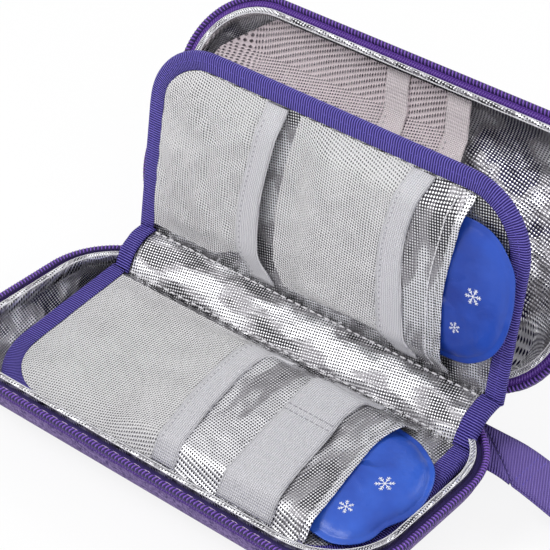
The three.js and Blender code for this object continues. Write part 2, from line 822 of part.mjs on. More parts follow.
piece(upperLeaf, 'upper_leaf_board', leafBoard(upperLeafHeight, upperLeafRadius), foilFabric);
piece(upperLeaf, 'upper_leaf_binding', leafBinding(upperLeafHeight, upperLeafRadius), bindingGrosgrain);
const leftNetEdges = [
  besideBinding(upperPocketEnd, upperLeafRadius),
  bowedEdge(upperBandLeft - gap, upperBandBow, upperEnds),
];
const leftNet = leafSheet(-1, leftNetEdges, upperEnds, upperMeshLeft, sheetThickness, netColumns, netRows);
piece(upperLeaf, 'upper_mesh_pocket_left', leftNet, whiteMesh);
const leftBandSides = [upperBandLeft, upperBandLeft + elasticWidth];
const leftBandEdges = leftBandSides.map((x) => bowedEdge(x, upperBandBow, upperEnds));
const leftBand = leafSheet(-1, leftBandEdges, upperEnds, upperMeshLeft, elasticThickness, 1, sheetRows);
piece(upperLeaf, 'upper_elastic_left', leftBand, greyElastic);
const rightNetEdges = [
  () => upperMeshRightStart,
  bowedEdge(upperSecondBandLeft - gap, upperSecondBandBow, upperEnds),
];
const rightNet = leafSheet(
  -1, rightNetEdges, upperEnds, upperMeshRight, sheetThickness, netColumns, netRows,
);
piece(upperLeaf, 'upper_mesh_pocket_right', rightNet, whiteMesh);
const upperSecondBandEnd = upperSecondBandLeft + elasticWidth;
const rightBandSides = [upperSecondBandLeft, upperSecondBandEnd];
const rightBandEdges = rightBandSides.map((x) => bowedEdge(x, upperSecondBandBow, upperEnds));
const rightBand = leafSheet(-1, rightBandEdges, upperEnds, upperArch, elasticThickness, 1, sheetRows);
piece(upperLeaf, 'upper_elastic_right', rightBand, greyElastic);
const upperPocketEdges = [
  bowedEdge(upperSecondBandEnd + gap, upperSecondBandBow, upperEnds),
  bowedEdge(leafHalf - upperMouthSetback, mouthBow, upperEnds),
];
const upperPocket = leafSheet(-1, upperPocketEdges, upperEnds, upperArch, sheetThickness, 1, sheetRows);
piece(upperLeaf, 'upper_pack_pocket', upperPocket, foilFabric);
piece(upperLeaf, 'upper_ice_pack', gelPack(-1, upperPackRight, upperPackSeamDistance), gelBlue);

// Zip slider, parked at the end of the zip by the gusset
const sliderRight = -gussetLength / 2 - gap;
const sliderLeft = sliderRight - sliderLength;
const channelOuterY = halfWidth + sliderOuterClearance;
const channelInnerY = halfWidth - (tapeThickness + gap + coilWidth) - sliderClearance;
const sliderLow = shellDepth - sliderBelow;
const sliderHigh = shellDepth + sliderReach;
const outerFaceY = channelOuterY + sliderOuterPlate;
const outerPlate = block(sliderLeft, sliderRight, channelOuterY, outerFaceY, sliderLow, sliderHigh);
const innerFaceY = channelInnerY - sliderPlate;
const innerPlate = block(sliderLeft, sliderRight, innerFaceY, channelInnerY, sliderLow, sliderHigh);
const bridgeHalf = partingClearance - gap;
const bridge = block(sliderLeft, sliderRight, channelInnerY - gap, channelOuterY + gap,
  shellDepth - bridgeHalf, shellDepth + bridgeHalf);
const sliderMiddle = (sliderLeft + sliderRight) / 2;
const bailOuterZ = shellDepth + sliderReach - gap;
const bailInnerZ = bailOuterZ - bailHeight;
const bailShape = new THREE.Shape(box2(outerFaceY - gap, outerFaceY + bailReach, bailInnerZ, bailOuterZ));
const bailHoleY = outerFaceY + bailReach - bailThickness;
bailShape.holes.push(new THREE.Path(
  box2(outerFaceY, bailHoleY, bailInnerZ + bailThickness, bailOuterZ - bailThickness),
));
const bail = solid(bar(bailShape, sliderMiddle - bailWidth / 2, sliderMiddle + bailWidth / 2));
const sliderBody = solid(outerPlate).add(solid(innerPlate)).add(solid(bridge)).add(bail);
piece(model, 'zip_slider', geometryOf(sliderBody), zipMetal);

// Pull tab, hanging from the bail by its eye
const tabY = outerFaceY + (bailReach - bailThickness) / 2;
const eyeTop = bailInnerZ + bailThickness + tabEyeGap;
const tabTop = eyeTop + tabEyeBar;
const tabRound = tabWidth / 2;
const tabShape = new THREE.Shape();
tabShape.absarc(sliderMiddle, tabTop - tabRound, tabRound, 0, Math.PI, false);
tabShape.absarc(sliderMiddle, tabTop - tabLength + tabRound, tabRound, Math.PI, 2 * Math.PI, false);
tabShape.closePath();
const eyeHalf = tabEyeWidth / 2;
tabShape.holes.push(new THREE.Path(
  box2(sliderMiddle - eyeHalf, sliderMiddle + eyeHalf, eyeTop - tabEyeLength, eyeTop),
));
const tab = plate(tabShape, -tabThickness / 2, tabThickness / 2);
tab.rotateX(Math.PI / 2).translate(0, tabY, 0);
piece(model, 'zip_pull_tab', tab, zipMetal);

// Wrist strap
// Its end is sewn round the rear right corner as a tab, and the loop swings at that tab's edge
const strapFrontY = cornerY + strapPastCorner;
const strapRearX = cornerX + strapSewnReach;
const strapZ = shellDepth - strapDrop;
const strapReach = halfLength + strapLength;
const strapDropStart = halfLength + strapLevelRun;
const strapDropEnd = strapDropStart + strapFallRun;
const tabChordStart = new THREE.Vector2(
  cornerX + Math.sqrt(cornerRadius ** 2 - (strapFrontY - cornerY) ** 2),
  strapFrontY,
);
const tabChordEnd = new THREE.Vector2(
  strapRearX,
  cornerY + Math.sqrt(cornerRadius ** 2 - (strapRearX - cornerX) ** 2),
);
const chordSlope = (tabChordEnd.x - tabChordStart.x) / (tabChordEnd.y - tabChordStart.y);
const chord = new THREE.Vector2().subVectors(tabChordEnd, tabChordStart).normalize();
const chordOut = new THREE.Vector2(chord.y, -chord.x);
const hingeStart = tabChordStart.clone().addScaledVector(chordOut, strapHingeOffset);

// X of a line beside the strap's hinge line, at a place across the strap
function besideHinge(y, beyond) {
  return hingeStart.x + (y - hingeStart.y) * chordSlope + beyond / chordOut.x;
}

const strapRearY = strapFrontY + strapWidth;
const strapEdge = strapThickness / 2;
const rootEndY = tabChordEnd.y + strapHingeOffset / 2;
const rootShape = new THREE.Shape([
  new THREE.Vector2(strapRearX, strapFrontY),
  new THREE.Vector2(besideHinge(strapFrontY, 0), strapFrontY),
  new THREE.Vector2(besideHinge(rootEndY, 0), rootEndY),
  new THREE.Vector2(strapRearX, rootEndY),
]);
const rootBlock = solid(plate(rootShape, strapZ - strapEdge, strapZ + strapEdge));
const noseLength = (rootEndY - strapFrontY) / chord.y;
const nose = bar(disc(0, 0, strapEdge), 0, noseLength);
nose.rotateZ(Math.atan2(chord.y, chord.x)).translate(besideHinge(strapFrontY, 0), strapFrontY, strapZ);
const strapRoot = geometryOf(rootBlock.subtract(room(-gap)).add(solid(nose)));
piece(bottomShell, 'wrist_strap_root', strapRoot, strapWebbing);

// Side view of the loop: it leaves level, falls to the table and lies there, two layers
// of webbing with a slit between them that opens at the far bend
function strapHeight(x) {
  return lerp(strapZ, strapFloorGap + strapEdge, smoothstep(x, strapDropStart, strapDropEnd));
}

function strapProfile() {
  const top = [];
  const bottom = [];
  const slitTop = [];
  const slitBottom = [];
  const start = besideHinge(strapFrontY, strapEdge + gap);
  const steps = 14;
  for (let i = 0; i <= steps; i += 1) {
    const x = lerp(start, strapReach, i / steps);
    const swell = smoothstep(x, strapReach - 2 * strapLoopLength, strapReach - strapLoopLength / 2);
    const closing = smoothstep(x, strapReach - strapLoopLength / 4, strapReach);
    const loop = (strapLoopHeight - strapThickness) * swell * (1 - closing);
    const z = strapHeight(x);
    bottom.push(new THREE.Vector2(x, z - strapEdge));
    top.unshift(new THREE.Vector2(x, z + strapEdge + loop));
    if (x > strapDropEnd - strapLoopLength && i < steps) {
      slitBottom.push(new THREE.Vector2(x, z - strapSlit / 2));
      slitTop.unshift(new THREE.Vector2(x, z + strapSlit / 2 + loop));
    }
  }
  const shape = new THREE.Shape([...bottom, ...top]);
  shape.holes.push(new THREE.Path([...slitBottom, ...slitTop]));
  return shape;
}

const strapLoop = plate(strapProfile(), 0, strapWidth);
strapLoop.rotateX(Math.PI / 2).translate(0, strapRearY, 0);
const rootEdgeX = besideHinge(strapFrontY, strapEdge + gap);
const loopPosition = strapLoop.attributes.position;
for (let i = 0; i < loopPosition.count; i += 1) {
  if (loopPosition.getX(i) < rootEdgeX + gap) {
    loopPosition.setX(i, besideHinge(loopPosition.getY(i), strapEdge + gap));
  }
}
piece(model, 'wrist_strap', strapLoop, strapWebbing);

export default model;
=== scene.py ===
import math

import bpy
import bmesh
from mathutils import Matrix, Vector, noise


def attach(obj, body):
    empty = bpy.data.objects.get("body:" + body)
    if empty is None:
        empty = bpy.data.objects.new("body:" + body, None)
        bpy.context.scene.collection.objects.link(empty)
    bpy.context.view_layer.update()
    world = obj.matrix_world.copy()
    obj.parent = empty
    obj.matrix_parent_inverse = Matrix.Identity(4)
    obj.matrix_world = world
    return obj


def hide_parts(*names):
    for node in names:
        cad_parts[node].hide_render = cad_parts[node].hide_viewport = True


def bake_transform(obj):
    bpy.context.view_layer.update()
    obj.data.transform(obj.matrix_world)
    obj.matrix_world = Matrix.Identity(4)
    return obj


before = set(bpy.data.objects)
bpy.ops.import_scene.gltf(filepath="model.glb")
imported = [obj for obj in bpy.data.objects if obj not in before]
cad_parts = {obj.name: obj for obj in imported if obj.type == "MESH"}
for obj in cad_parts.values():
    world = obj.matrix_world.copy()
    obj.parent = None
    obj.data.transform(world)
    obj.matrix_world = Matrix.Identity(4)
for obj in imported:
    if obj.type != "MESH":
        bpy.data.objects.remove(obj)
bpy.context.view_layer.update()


# Camera
# The case is seen from its front right, from above, through a long lens. The place and
# the three directions were fitted to the case's outline. Places and sizes in this file
# are in millimetres, and become metres where a mesh is made.

mm = 0.001
camera_place = Vector((367.9, -465.9, 502.5))
camera_right = Vector((0.78244, 0.62087, 0.04803))
camera_up = Vector((-0.39249, 0.43180, 0.81210))
camera_back = Vector((0.48347, -0.65427, 0.58154))

camera_data = bpy.data.cameras.new("camera")
camera_data.sensor_width = 36
camera_data.lens = 133.5
camera_data.clip_start = 20 * mm
camera_data.clip_end = 20
camera = bpy.data.objects.new("camera", camera_data)
bpy.context.scene.collection.objects.link(camera)
camera_turn = Matrix((camera_right, camera_up, camera_back)).transposed().to_4x4()
camera.matrix_world = Matrix.Translation(camera_place * mm) @ camera_turn
bpy.context.scene.camera = camera


# Floor and light
# A white sweep with hardly a shadow, under big soft lights, as in a catalogue.
# Glossy cloth and metal see the same white as the camera does.

floor_reach = 6
floor_white = (0.92, 0.92, 0.92, 1)
full_white = (1, 1, 1, 1)
panel_dark, panel_light = (0.24, 0.24, 0.25, 1), (0.8, 0.8, 0.8, 1)
glow_share = 0.86
aim = Vector((0, 0.03, 0.04))


def colour(red, green, blue):
    """A display colour of 0 to 255 as a shader colour."""
    channels = []
    for level in (red, green, blue):
        if level > 10:
            channels.append(((level / 255 + 0.055) / 1.055) ** 2.4)
        else:
            channels.append(level / 3295)
    return (*channels, 1)


def new_material(name):
    material = bpy.data.materials.new(name)
    material.use_nodes = True
    return material


def node(material, kind, inputs=None, **settings):
    """A new shader node; an input is a number, a colour or another node's output."""
    made = material.node_tree.nodes.new(kind)
    for key, value in settings.items():
        setattr(made, key, value)
    for key, value in (inputs or {}).items():
        if isinstance(value, bpy.types.NodeSocket):
            material.node_tree.links.new(value, made.inputs[key])
        else:
            made.inputs[key].default_value = value
    return made


def calc(material, operation, first, second=0.0):
    inputs = {0: first, 1: second}
    return node(material, "ShaderNodeMath", inputs, operation=operation).outputs[0]


def shades(material, factor, *stops):
    """Colour along a ramp; each stop is a place and a colour."""
    made = node(material, "ShaderNodeValToRGB", {"Fac": factor})
    elements = made.color_ramp.elements
    while len(elements) < len(stops):
        elements.new(0.5)
    for element, (place, shade_there) in zip(elements, stops):
        element.position = place
        element.color = shade_there
    return made.outputs[0]


def blend_tones(material, share, first, second):
    inputs = {0: share, 6: first, 7: second}
    return node(material, "ShaderNodeMix", inputs, data_type="RGBA").outputs[2]


def cloud(material, coordinates, scale, detail=3.0, stretch=(1, 1, 1)):
    """Noise between 0 and 1."""
    inputs = {"Vector": coordinates, "Scale": stretch}
    placed = node(material, "ShaderNodeMapping", inputs).outputs[0]
    inputs = {"Vector": placed, "Scale": scale, "Detail": detail}
    return node(material, "ShaderNodeTexNoise", inputs).outputs["Fac"]


def seen_rays(material):
    """1 for what the camera sees, straight or by gloss or through glass."""
    rays = node(material, "ShaderNodeLightPath").outputs
    seen = calc(material, "MAXIMUM", rays["Is Camera Ray"], rays["Is Glossy Ray"])
    return calc(material, "MAXIMUM", seen, rays["Is Transmission Ray"])


floor_corners = [(x * floor_reach, y * floor_reach, 0) for x, y in ((-1, -1), (1, -1), (1, 1), (-1, 1))]
floor_mesh = bpy.data.meshes.new("floor")
floor_mesh.from_pydata(floor_corners, [], [(0, 1, 2, 3)])
floor = bpy.data.objects.new("floor", floor_mesh)
bpy.context.scene.collection.objects.link(floor)
floor_paint = new_material("floor_paint")
floor_shader = floor_paint.node_tree.nodes["Principled BSDF"]
floor_shader.inputs["Base Color"].default_value = floor_white
floor_shader.inputs["Roughness"].default_value = 0.9
floor_glow = node(floor_paint, "ShaderNodeEmission", {"Color": full_white, "Strength": 1.0}).outputs[0]
mostly_seen = calc(floor_paint, "MULTIPLY", seen_rays(floor_paint), glow_share)
floor_layers = {0: mostly_seen, 1: floor_shader.outputs[0], 2: floor_glow}
floor_mix = node(floor_paint, "ShaderNodeMixShader", floor_layers)
floor_out = floor_paint.node_tree.nodes["Material Output"]
floor_paint.node_tree.links.new(floor_mix.outputs[0], floor_out.inputs[0])
floor_mesh.materials.append(floor_paint)

world = bpy.data.worlds.new("studio")
bpy.context.scene.world = world
world.use_nodes = True
sky_direction = node(world, "ShaderNodeTexCoord").outputs["Generated"]
panels = cloud(world, sky_direction, 2.6, detail=1.0, stretch=(1, 1, 1.6))
panel_glow = shades(world, panels, (0.36, panel_dark), (0.6, panel_light))
studio_tone = blend_tones(world, seen_rays(world), panel_glow, full_white)
studio_back = world.node_tree.nodes["Background"]
world.node_tree.links.new(studio_tone, studio_back.inputs["Color"])
studio_back.inputs["Strength"].default_value = 1.0


def softbox(name, place, size, power):
    """A square lamp that looks at the middle of the case. Its place is in metres."""
    lamp = bpy.data.lights.new(name, "AREA")
    lamp.size = size
    lamp.energy = power
    made = bpy.data.objects.new(name, lamp)
    bpy.context.scene.collection.objects.link(made)
    made.location = place
    made.rotation_euler = (aim - Vector(place)).to_track_quat("-Z", "Y").to_euler()


softbox("key_light", (-0.55, -0.5, 0.95), 0.5, 6)
softbox("fill_light", (0.8, -0.45, 0.7), 0.7, 3)
softbox("rim_light", (0.1, 0.9, 0.8), 0.5, 3)
bpy.context.scene.view_settings.view_transform = "Standard"


# Shell fabric
# Each half is a foam tray pressed between polyester oxford and foil. The oxford is
# purple with a lighter fleck, stretched smooth over the rounded walls.

shell_depth = 25
corner_x, corner_y, corner_radius = 67.5, 18.5, 35
draft_depth, draft_inset = 8, 2.446
draft_angle = math.radians(17)
arc_radius = (shell_depth - draft_depth) / (1 - math.sin(draft_angle))
rear_radius = 7
oxford_thickness = 0.85
arc_run = 30
# The oxford's cut edge under the zip tape, as drop, offset and run of cloth.
oxford_edge = [(5.2, 0, 34), (5.0, 0.25, 34.5), (5.1, oxford_thickness, 35)]
foot_steps = [i / 12 for i in range(13)]
floor_shares = (0.3, 0.6, 0.85)
crumple_pace, fine_crumple_pace = 0.11, 0.27
hinge_y, hinge_z = 57, 25
lid_open = math.radians(123)
oxford_purple, oxford_fleck = colour(64, 46, 104), colour(140, 120, 172)
foam_dark, foam_light = colour(40, 28, 84), colour(58, 42, 110)


def smooth(value):
    value = min(max(value, 0), 1)
    return value * value * (3 - 2 * value)


def mix(low, high, share):
    return low + (high - low) * share


def rear_share(angle):
    """How far a direction round the rim belongs to the hinge-side wall."""
    if math.sin(angle) <= 0:
        return 0
    return smooth(math.atan2(math.sin(angle), abs(math.cos(angle))) / (math.pi / 2))


def wall(share, drop_or_turn, offset, on_arc):
    """Drop below the rim and inset from it, on the straight top or on the rounded foot."""
    if not on_arc:
        slope = mix(draft_inset, 0, share) / mix(draft_depth, shell_depth - rear_radius, share)
        return drop_or_turn, drop_or_turn * slope + offset * math.hypot(1, slope)
    side_turn = mix(draft_angle, math.pi / 2, drop_or_turn)
    rear_turn = drop_or_turn * math.pi / 2
    rise = math.sin(side_turn) - math.sin(draft_angle)
    side_drop = draft_depth + arc_radius * rise - offset * math.sin(side_turn)
    across = math.cos(draft_angle) - math.cos(side_turn)
    side_inset = draft_inset + arc_radius * across + offset * math.cos(side_turn)
    rear_drop = shell_depth - rear_radius + (rear_radius - offset) * math.sin(rear_turn)
    rear_inset = rear_radius - (rear_radius - offset) * math.cos(rear_turn)
    return mix(side_drop, rear_drop, share), mix(side_inset, rear_inset, share)


def outline_samples(turn_steps=14, long_steps=14, short_steps=5):
    """Centres and outward angles once round the case."""
    samples = []
    centres = [(1, 1), (-1, 1), (-1, -1), (1, -1)]
    for k, (sx, sy) in enumerate(centres):
        for i in range(turn_steps + 1):
            samples.append((sx * corner_x, sy * corner_y, (k + i / turn_steps) * math.pi / 2))
        nx, ny = centres[(k + 1) % 4]
        steps = long_steps if k % 2 == 0 else short_steps
        for i in range(1, steps):
            t = i / steps
            x = mix(sx, nx, t) * corner_x
            y = mix(sy, ny, t) * corner_y
            samples.append((x, y, (k + 1) * math.pi / 2))
    return samples


def wall_point(sample, drop, inset):
    x, y, angle = sample
    reach = corner_radius - inset
    return Vector((x + reach * math.cos(angle), y + reach * math.sin(angle), shell_depth - drop))


def make_piece(name, points, faces, material, body, flats=None):
    """A smooth mesh on a body. flats gives each face's corners their cloth coordinates."""
    mesh = bpy.data.meshes.new(name)
    mesh.from_pydata([tuple(p * mm) for p in points], [], faces)
    if flats:
        layer = mesh.uv_layers.new(name="cloth")
        corners = [flat for face in flats for flat in face]
        for item, flat in zip(layer.data, corners):
            item.uv = flat
    mesh.polygons.foreach_set("use_smooth", [True] * len(mesh.polygons))
    mesh.materials.append(material)
    made = bpy.data.objects.new(name, mesh)
    bpy.context.scene.collection.objects.link(made)
    if body:
        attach(made, body)
    return made


def face_outward(piece):
    work = bmesh.new()
    work.from_mesh(piece.data)
    bmesh.ops.recalc_face_normals(work, faces=work.faces)
    work.to_mesh(piece.data)
    work.free()
    return piece


def skin(name, rings, material, body, place=None, caps=(True, True)):
    """A closed skin through rings of (point, flat) pairs, with its ends capped."""
    count = len(rings[0])
    points = [place(p) if place else p for ring in rings for p, flat in ring]
    cloth = [flat for ring in rings for p, flat in ring]
    faces = []
    for r in range(len(rings) - 1):
        for i in range(count):
            a, b = r * count + i, r * count + (i + 1) % count
            faces.append((a, b, b + count, a + count))
    last = (len(rings) - 1) * count
    if caps[0]:
        faces.append(tuple(reversed(range(count))))
    if caps[1]:
        faces.append(tuple(range(last, last + count)))
    flats = [[cloth[v] for v in face] for face in faces]
    return face_outward(make_piece(name, points, faces, material, body, flats))


def flat_of(sample, run):
    """Cloth coordinates of a wall point: the wall folded out flat round the base."""
    x, y, angle = sample
    reach = corner_radius - shell_depth + run
    return (x + reach * math.cos(angle), y + reach * math.sin(angle))


def wall_ring(samples, amount, offset, on_arc, run, crumple=0.0):
    """One ring round the tray's wall, crumpled inward where crumple is more than 0."""
    ring = []
    for sample in samples:
        drop, inset = wall(rear_share(sample[2]), amount, offset, on_arc)
        point = wall_point(sample, drop, inset)
        if crumple:
            coarse = noise.noise(point * crumple_pace)
            lift = crumple * (0.5 + coarse + 0.5 * noise.noise(point * fine_crumple_pace))
            inward = Vector((-math.cos(sample[2]), -math.sin(sample[2]), 0))
            floor_share = amount if on_arc else 0
            point += (inward * (1 - floor_share) + Vector((0, 0, 1)) * floor_share) * max(lift, 0)
        ring.append((point, flat_of(sample, run)))
    return ring


def floor_rings(ring, shares):
    """Rings that close a tray's floor towards its middle."""
    rings = []
    for share in shares:
        drawn_in = []
        for point, flat in ring:
            inner = Vector((point.x * share, point.y * share, point.z))
            drawn_in.append((inner, (flat[0] * share, flat[1] * share)))
        rings.append(drawn_in)
    return rings


def in_lid(point):
    """From the bottom shell's place to the open lid's."""
    y, z = point.y - hinge_y, hinge_z - point.z
    return Vector((
        point.x,
        hinge_y + y * math.cos(lid_open) + z * math.sin(lid_open),
        hinge_z - y * math.sin(lid_open) + z * math.cos(lid_open),
    ))


def spot_on(material):
    return node(material, "ShaderNodeTexCoord").outputs["Object"]


def ripple(material, along, pitch, lean=0.0):
    """A wave of one pitch in mm across the cloth, from -1 to 1; along is 'X' or 'Y'."""
    cloth = node(material, "ShaderNodeUVMap", uv_map="cloth").outputs[0]
    inputs = {"Vector": cloth, "Rotation": (0, 0, lean)}
    placed = node(material, "ShaderNodeMapping", inputs).outputs[0]
    split = node(material, "ShaderNodeSeparateXYZ", {0: placed})
    return calc(material, "SINE", calc(material, "MULTIPLY", split.outputs[along], 2 * math.pi / pitch))


def with_share(material, first, second, share):
    """The first pattern with a share of the second one added."""
    return calc(material, "ADD", first, calc(material, "MULTIPLY", second, share))


def around_middle(material, wave, share):
    """A share of a wave, moved to lie around 0.5."""
    inputs = {0: wave, 1: share, 2: 0.5}
    return node(material, "ShaderNodeMath", inputs, operation="MULTIPLY_ADD").outputs[0]


def bump(material, height, distance, strength=1.0, below=None):
    inputs = {"Height": height, "Distance": distance * mm, "Strength": strength}
    if below is not None:
        inputs["Normal"] = below
    return node(material, "ShaderNodeBump", inputs).outputs[0]


def shade(material, **values):
    """Sets the main shader's inputs. An input's name has _ for each space."""
    shader = material.node_tree.nodes["Principled BSDF"]
    for key, value in values.items():
        socket = shader.inputs[key.replace("_", " ")]
        if isinstance(value, bpy.types.NodeSocket):
            material.node_tree.links.new(value, socket)
        else:
            socket.default_value = value
    return material


def grained(name, scale, dark, light, relief, **finish):
    """A fine grain between two stops of colour, with a little relief."""
    made = new_material(name)
    grain = cloud(made, spot_on(made), scale)
    tone = shades(made, grain, dark, light)
    return shade(made, Base_Color=tone, Normal=bump(made, grain, relief), **finish)


def finish_cad_node(name, material):
    """A hard or hidden solid that is shown as it is, in a finish of its own."""
    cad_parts[name].data.materials.clear()
    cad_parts[name].data.materials.append(material)


oxford = new_material("purple_oxford_cloth")
oxford_spot = spot_on(oxford)
warp = cloud(oxford, oxford_spot, 1500, stretch=(1, 0.3, 0.3))
weft = cloud(oxford, oxford_spot, 1500, stretch=(0.3, 1, 1))
fleck = with_share(oxford, calc(oxford, "MULTIPLY", warp, 0.5), weft, 0.5)
worn = with_share(oxford, fleck, cloud(oxford, oxford_spot, 30), 0.08)
shade(
    oxford,
    Base_Color=shades(oxford, worn, (0.44, oxford_purple), (0.62, oxford_fleck)),
    Roughness=0.85,
    Specular_IOR_Level=0.2,
    Sheen_Weight=0.05,
    Normal=bump(oxford, fleck, 0.35),
)


def shell_fabric(name, body, place, replaced):
    """The oxford: outside from the floor up, over its cut edge, and back down inside."""
    samples = outline_samples()
    rings = [wall_ring(samples, t, 0, True, arc_run * (1 - t)) for t in reversed(foot_steps)]
    rings = floor_rings(rings[0], floor_shares) + rings
    for drop, offset, run in oxford_edge:
        rings.append(wall_ring(samples, drop, offset, False, run))
    for t in foot_steps:
        rings.append(wall_ring(samples, t, oxford_thickness, True, arc_run * (1 - t)))
    made = skin(name, rings, oxford, body, place)
    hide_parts(replaced)


shell_fabric("bottom_oxford_cover", "bottom_shell", None, "bottom_outer_shell")
shell_fabric("lid_oxford_cover", "lid", in_lid, "lid_outer_shell")

foam_grain = grained("foam_grain", 1500, (0.35, foam_dark), (0.7, foam_light), 0.3, Roughness=0.9)
for foam_name in ("bottom_insulation_foam", "lid_insulation_foam"):
    finish_cad_node(foam_name, foam_grain)


# Foil lining
# A silver film with a woven net of dots, laid over the foam and turned over
# its rim as a soft rolled edge, between two thin grey edgings. Its bright and dark
# patches are painted reflection, and its dots are painted dark on the bright film
# and bright on the dark.

foil_reflection_light, foil_reflection_grey, foil_reflection_dark = colour(244, 244, 247), colour(150, 147, 152), colour(46, 44, 50)
foil_reflection_navy = colour(34, 30, 66)
edging_light, edging_dark = colour(240, 239, 243), colour(196, 195, 200)
foil_face, foil_back, foil_spread = 4.35, 3.95, 0.1
foil_run, lip_run = 36, 48
net_lean = 0.6
floor_sag = 0.25
# The rolled edge, as offset from the shell's outside and drop below the rim.
lip_profile = [
    (4.6, 3.9), (4.55, 0.9), (4.8, 0.3), (5.5, 0.1), (6.3, 0.35), (6.6, 1.2), (6.1, 3.2), (5.1, 5.6),
]
# The two thin edgings, as offset, drop and radius.
outer_edging, inner_edging = (4.65, 0.5, 0.22), (6.6, 0.5, 0.24)


def foil_cloth(name, pitch, fold_size, stretch, dark=foil_reflection_dark, share=0.5, crumple=0.3):
    """Silver film over a woven net, with painted reflection. The film is painted bright or dark in
    patches that follow its folds, and the net's dots the other way round.

    pitch is the net's and fold_size that of the folds, both in mm. stretch is the
    folds' direction, dark the colour of the darkest painted reflection, and share
    the part of the film painted dark as reflection.
    """
    made = new_material(name)
    across, along = ripple(made, "X", pitch, net_lean), ripple(made, "Y", pitch, net_lean)
    lattice = calc(made, "MULTIPLY", across, along)
    knots = shades(made, lattice, (0.12, (0, 0, 0, 1)), (0.42, full_white))
    spot = spot_on(made)
    folds = cloud(made, spot, 1000 / fold_size, detail=2.5, stretch=stretch)
    # Painted reflection: the film is painted dark, grey or bright by the fold pattern, and the net's dots
    # the other way round.
    bright_reflection_stop = (share + 0.05, foil_reflection_light)
    film = shades(made, folds, (share - 0.1, dark), (share - 0.02, foil_reflection_grey), bright_reflection_stop)
    net_dots_against_reflection = shades(made, folds, (share - 0.06, foil_reflection_light), (share + 0.02, dark))
    tone = blend_tones(made, knots, film, net_dots_against_reflection)
    creases = calc(made, "ABSOLUTE", calc(made, "SUBTRACT", cloud(made, spot, 45, detail=3), 0.5))
    soft = bump(made, folds, 4 * crumple)
    sharp = bump(made, calc(made, "MULTIPLY", creases, -1), 5 * crumple, below=soft)
    fine = bump(made, lattice, 0.1, below=sharp)
    return shade(made, Base_Color=tone, Metallic=0.75, Roughness=0.3, Normal=fine)


# Each foil below carries this painted reflection; the lining's darkest painted reflection is navy.
lining_foil = foil_cloth("lining_foil", 1.9, 16, (1, 1, 1), dark=foil_reflection_navy, share=0.53, crumple=0.8)
edge_foil = foil_cloth("edge_foil", 1.9, 9, (1, 1, 1), share=0.48, crumple=0.1)
edging_grey = grained("edging_grey", 1500, (0.3, edging_dark), (0.7, edging_light), 0.1, Roughness=0.5)


def foil_lining(name, body, place, replaced, crumple):
    """The rolled edge, the crumpled face down to the floor, and the back up again."""
    samples = outline_samples()
    rings = []
    for i, (offset, drop) in enumerate(lip_profile):
        rings.append(wall_ring(samples, drop, offset, False, lip_run - i))
    for t in foot_steps:
        creased = crumple * math.sin(math.pi * min(t + 0.1, 1))
        offset = foil_face - foil_spread * t
        rings.append(wall_ring(samples, t, offset, True, foil_run * (1 - t), creased))
    rings += floor_rings(rings[-1], reversed(floor_shares))
    rings.append([(point - Vector((0, 0, floor_sag)), flat) for point, flat in rings[-1]])
    for t in reversed(foot_steps):
        rings.append(wall_ring(samples, t, foil_back, True, foil_run * (1 - t)))
    made = skin(name, rings, lining_foil, body, place, caps=(False, False))
    made.data.materials.append(edge_foil)
    for polygon in made.data.polygons[: (len(lip_profile) - 1) * len(samples)]:
        polygon.material_index = 1
    work = bmesh.new()
    work.from_mesh(made.data)
    loops = [edge for edge in work.edges if edge.is_boundary]
    bmesh.ops.bridge_loops(work, edges=loops)
    bmesh.ops.recalc_face_normals(work, faces=work.faces)
    work.to_mesh(made.data)
    work.free()
    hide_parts(replaced)


def rim_cord(name, profile, body, place):
    """A thin grey edging, six-sided, that runs once round the mouth."""
    samples = outline_samples()
    offset, drop, radius = profile
    rings = []
    for k in range(7):
        turn_by = k * math.pi / 3
        across, down = radius * math.cos(turn_by), radius * math.sin(turn_by)
        rings.append(wall_ring(samples, drop + down, offset + across, False, k * radius))
    skin(name, rings, edging_grey, body, place, caps=(False, False))


for half, body, place, crumple in (("bottom", "bottom_shell", None, 0.9), ("lid", "lid", in_lid, 0.7)):
    foil_lining(half + "_foil_tray", body, place, half + "_foil_lining", crumple)
    rim_cord(half + "_outer_edging", outer_edging, body, place)
    rim_cord(half + "_inner_edging", inner_edging, body, place)


# Zip
# A nylon coil on a woven tape runs round both rims from one end of the hinge to the
# other. The tape is sewn to the oxford outside, and a strip of cloth fills the gap
# between the coil and the foil; in the bottom half that strip is painted dark as shade.
# The coil's turns carry a painted highlight on their crests and painted shade on their
# flanks, and the core inside them is painted dark as shade.

zip_end = 59
turn_pitch = 1.6
tape_step = 2.0
tape_light, tape_dark = colour(98, 58, 158), colour(66, 34, 120)
coil_highlight, coil_purple, coil_shade = colour(140, 100, 204), colour(64, 28, 132), colour(34, 8, 84)
core_shaded_light, core_shaded_dark = colour(40, 16, 92), colour(26, 8, 64)
channel_shaded_light, channel_shaded_dark = colour(56, 38, 110), colour(30, 20, 66)
# Sections across the rim, as drop below it and offset from the shell's outside.
tape_section = [
    (5.6, -0.1), (5.2, -0.42), (4.7, -0.5), (4.2, -0.3), (3.6, -0.38), (2.9, -0.3),
    (2.2, -0.2), (2.0, 0.4), (2.0, 1.2), (2.1, 1.9),
]
core_section = [(2.3, -0.6), (1.5, -0.7), (0.8, -0.25), (0.75, 0.8), (1.1, 1.55), (2.0, 1.8)]
bottom_channel = [(1.9, 1.6), (2.9, 1.9), (3.3, 2.8), (3.3, 3.8), (3.0, 4.7)]
lid_channel = [(1.7, 1.5), (1.4, 2.1), (1.3, 3.2), (1.4, 4.2), (2.2, 4.75)]
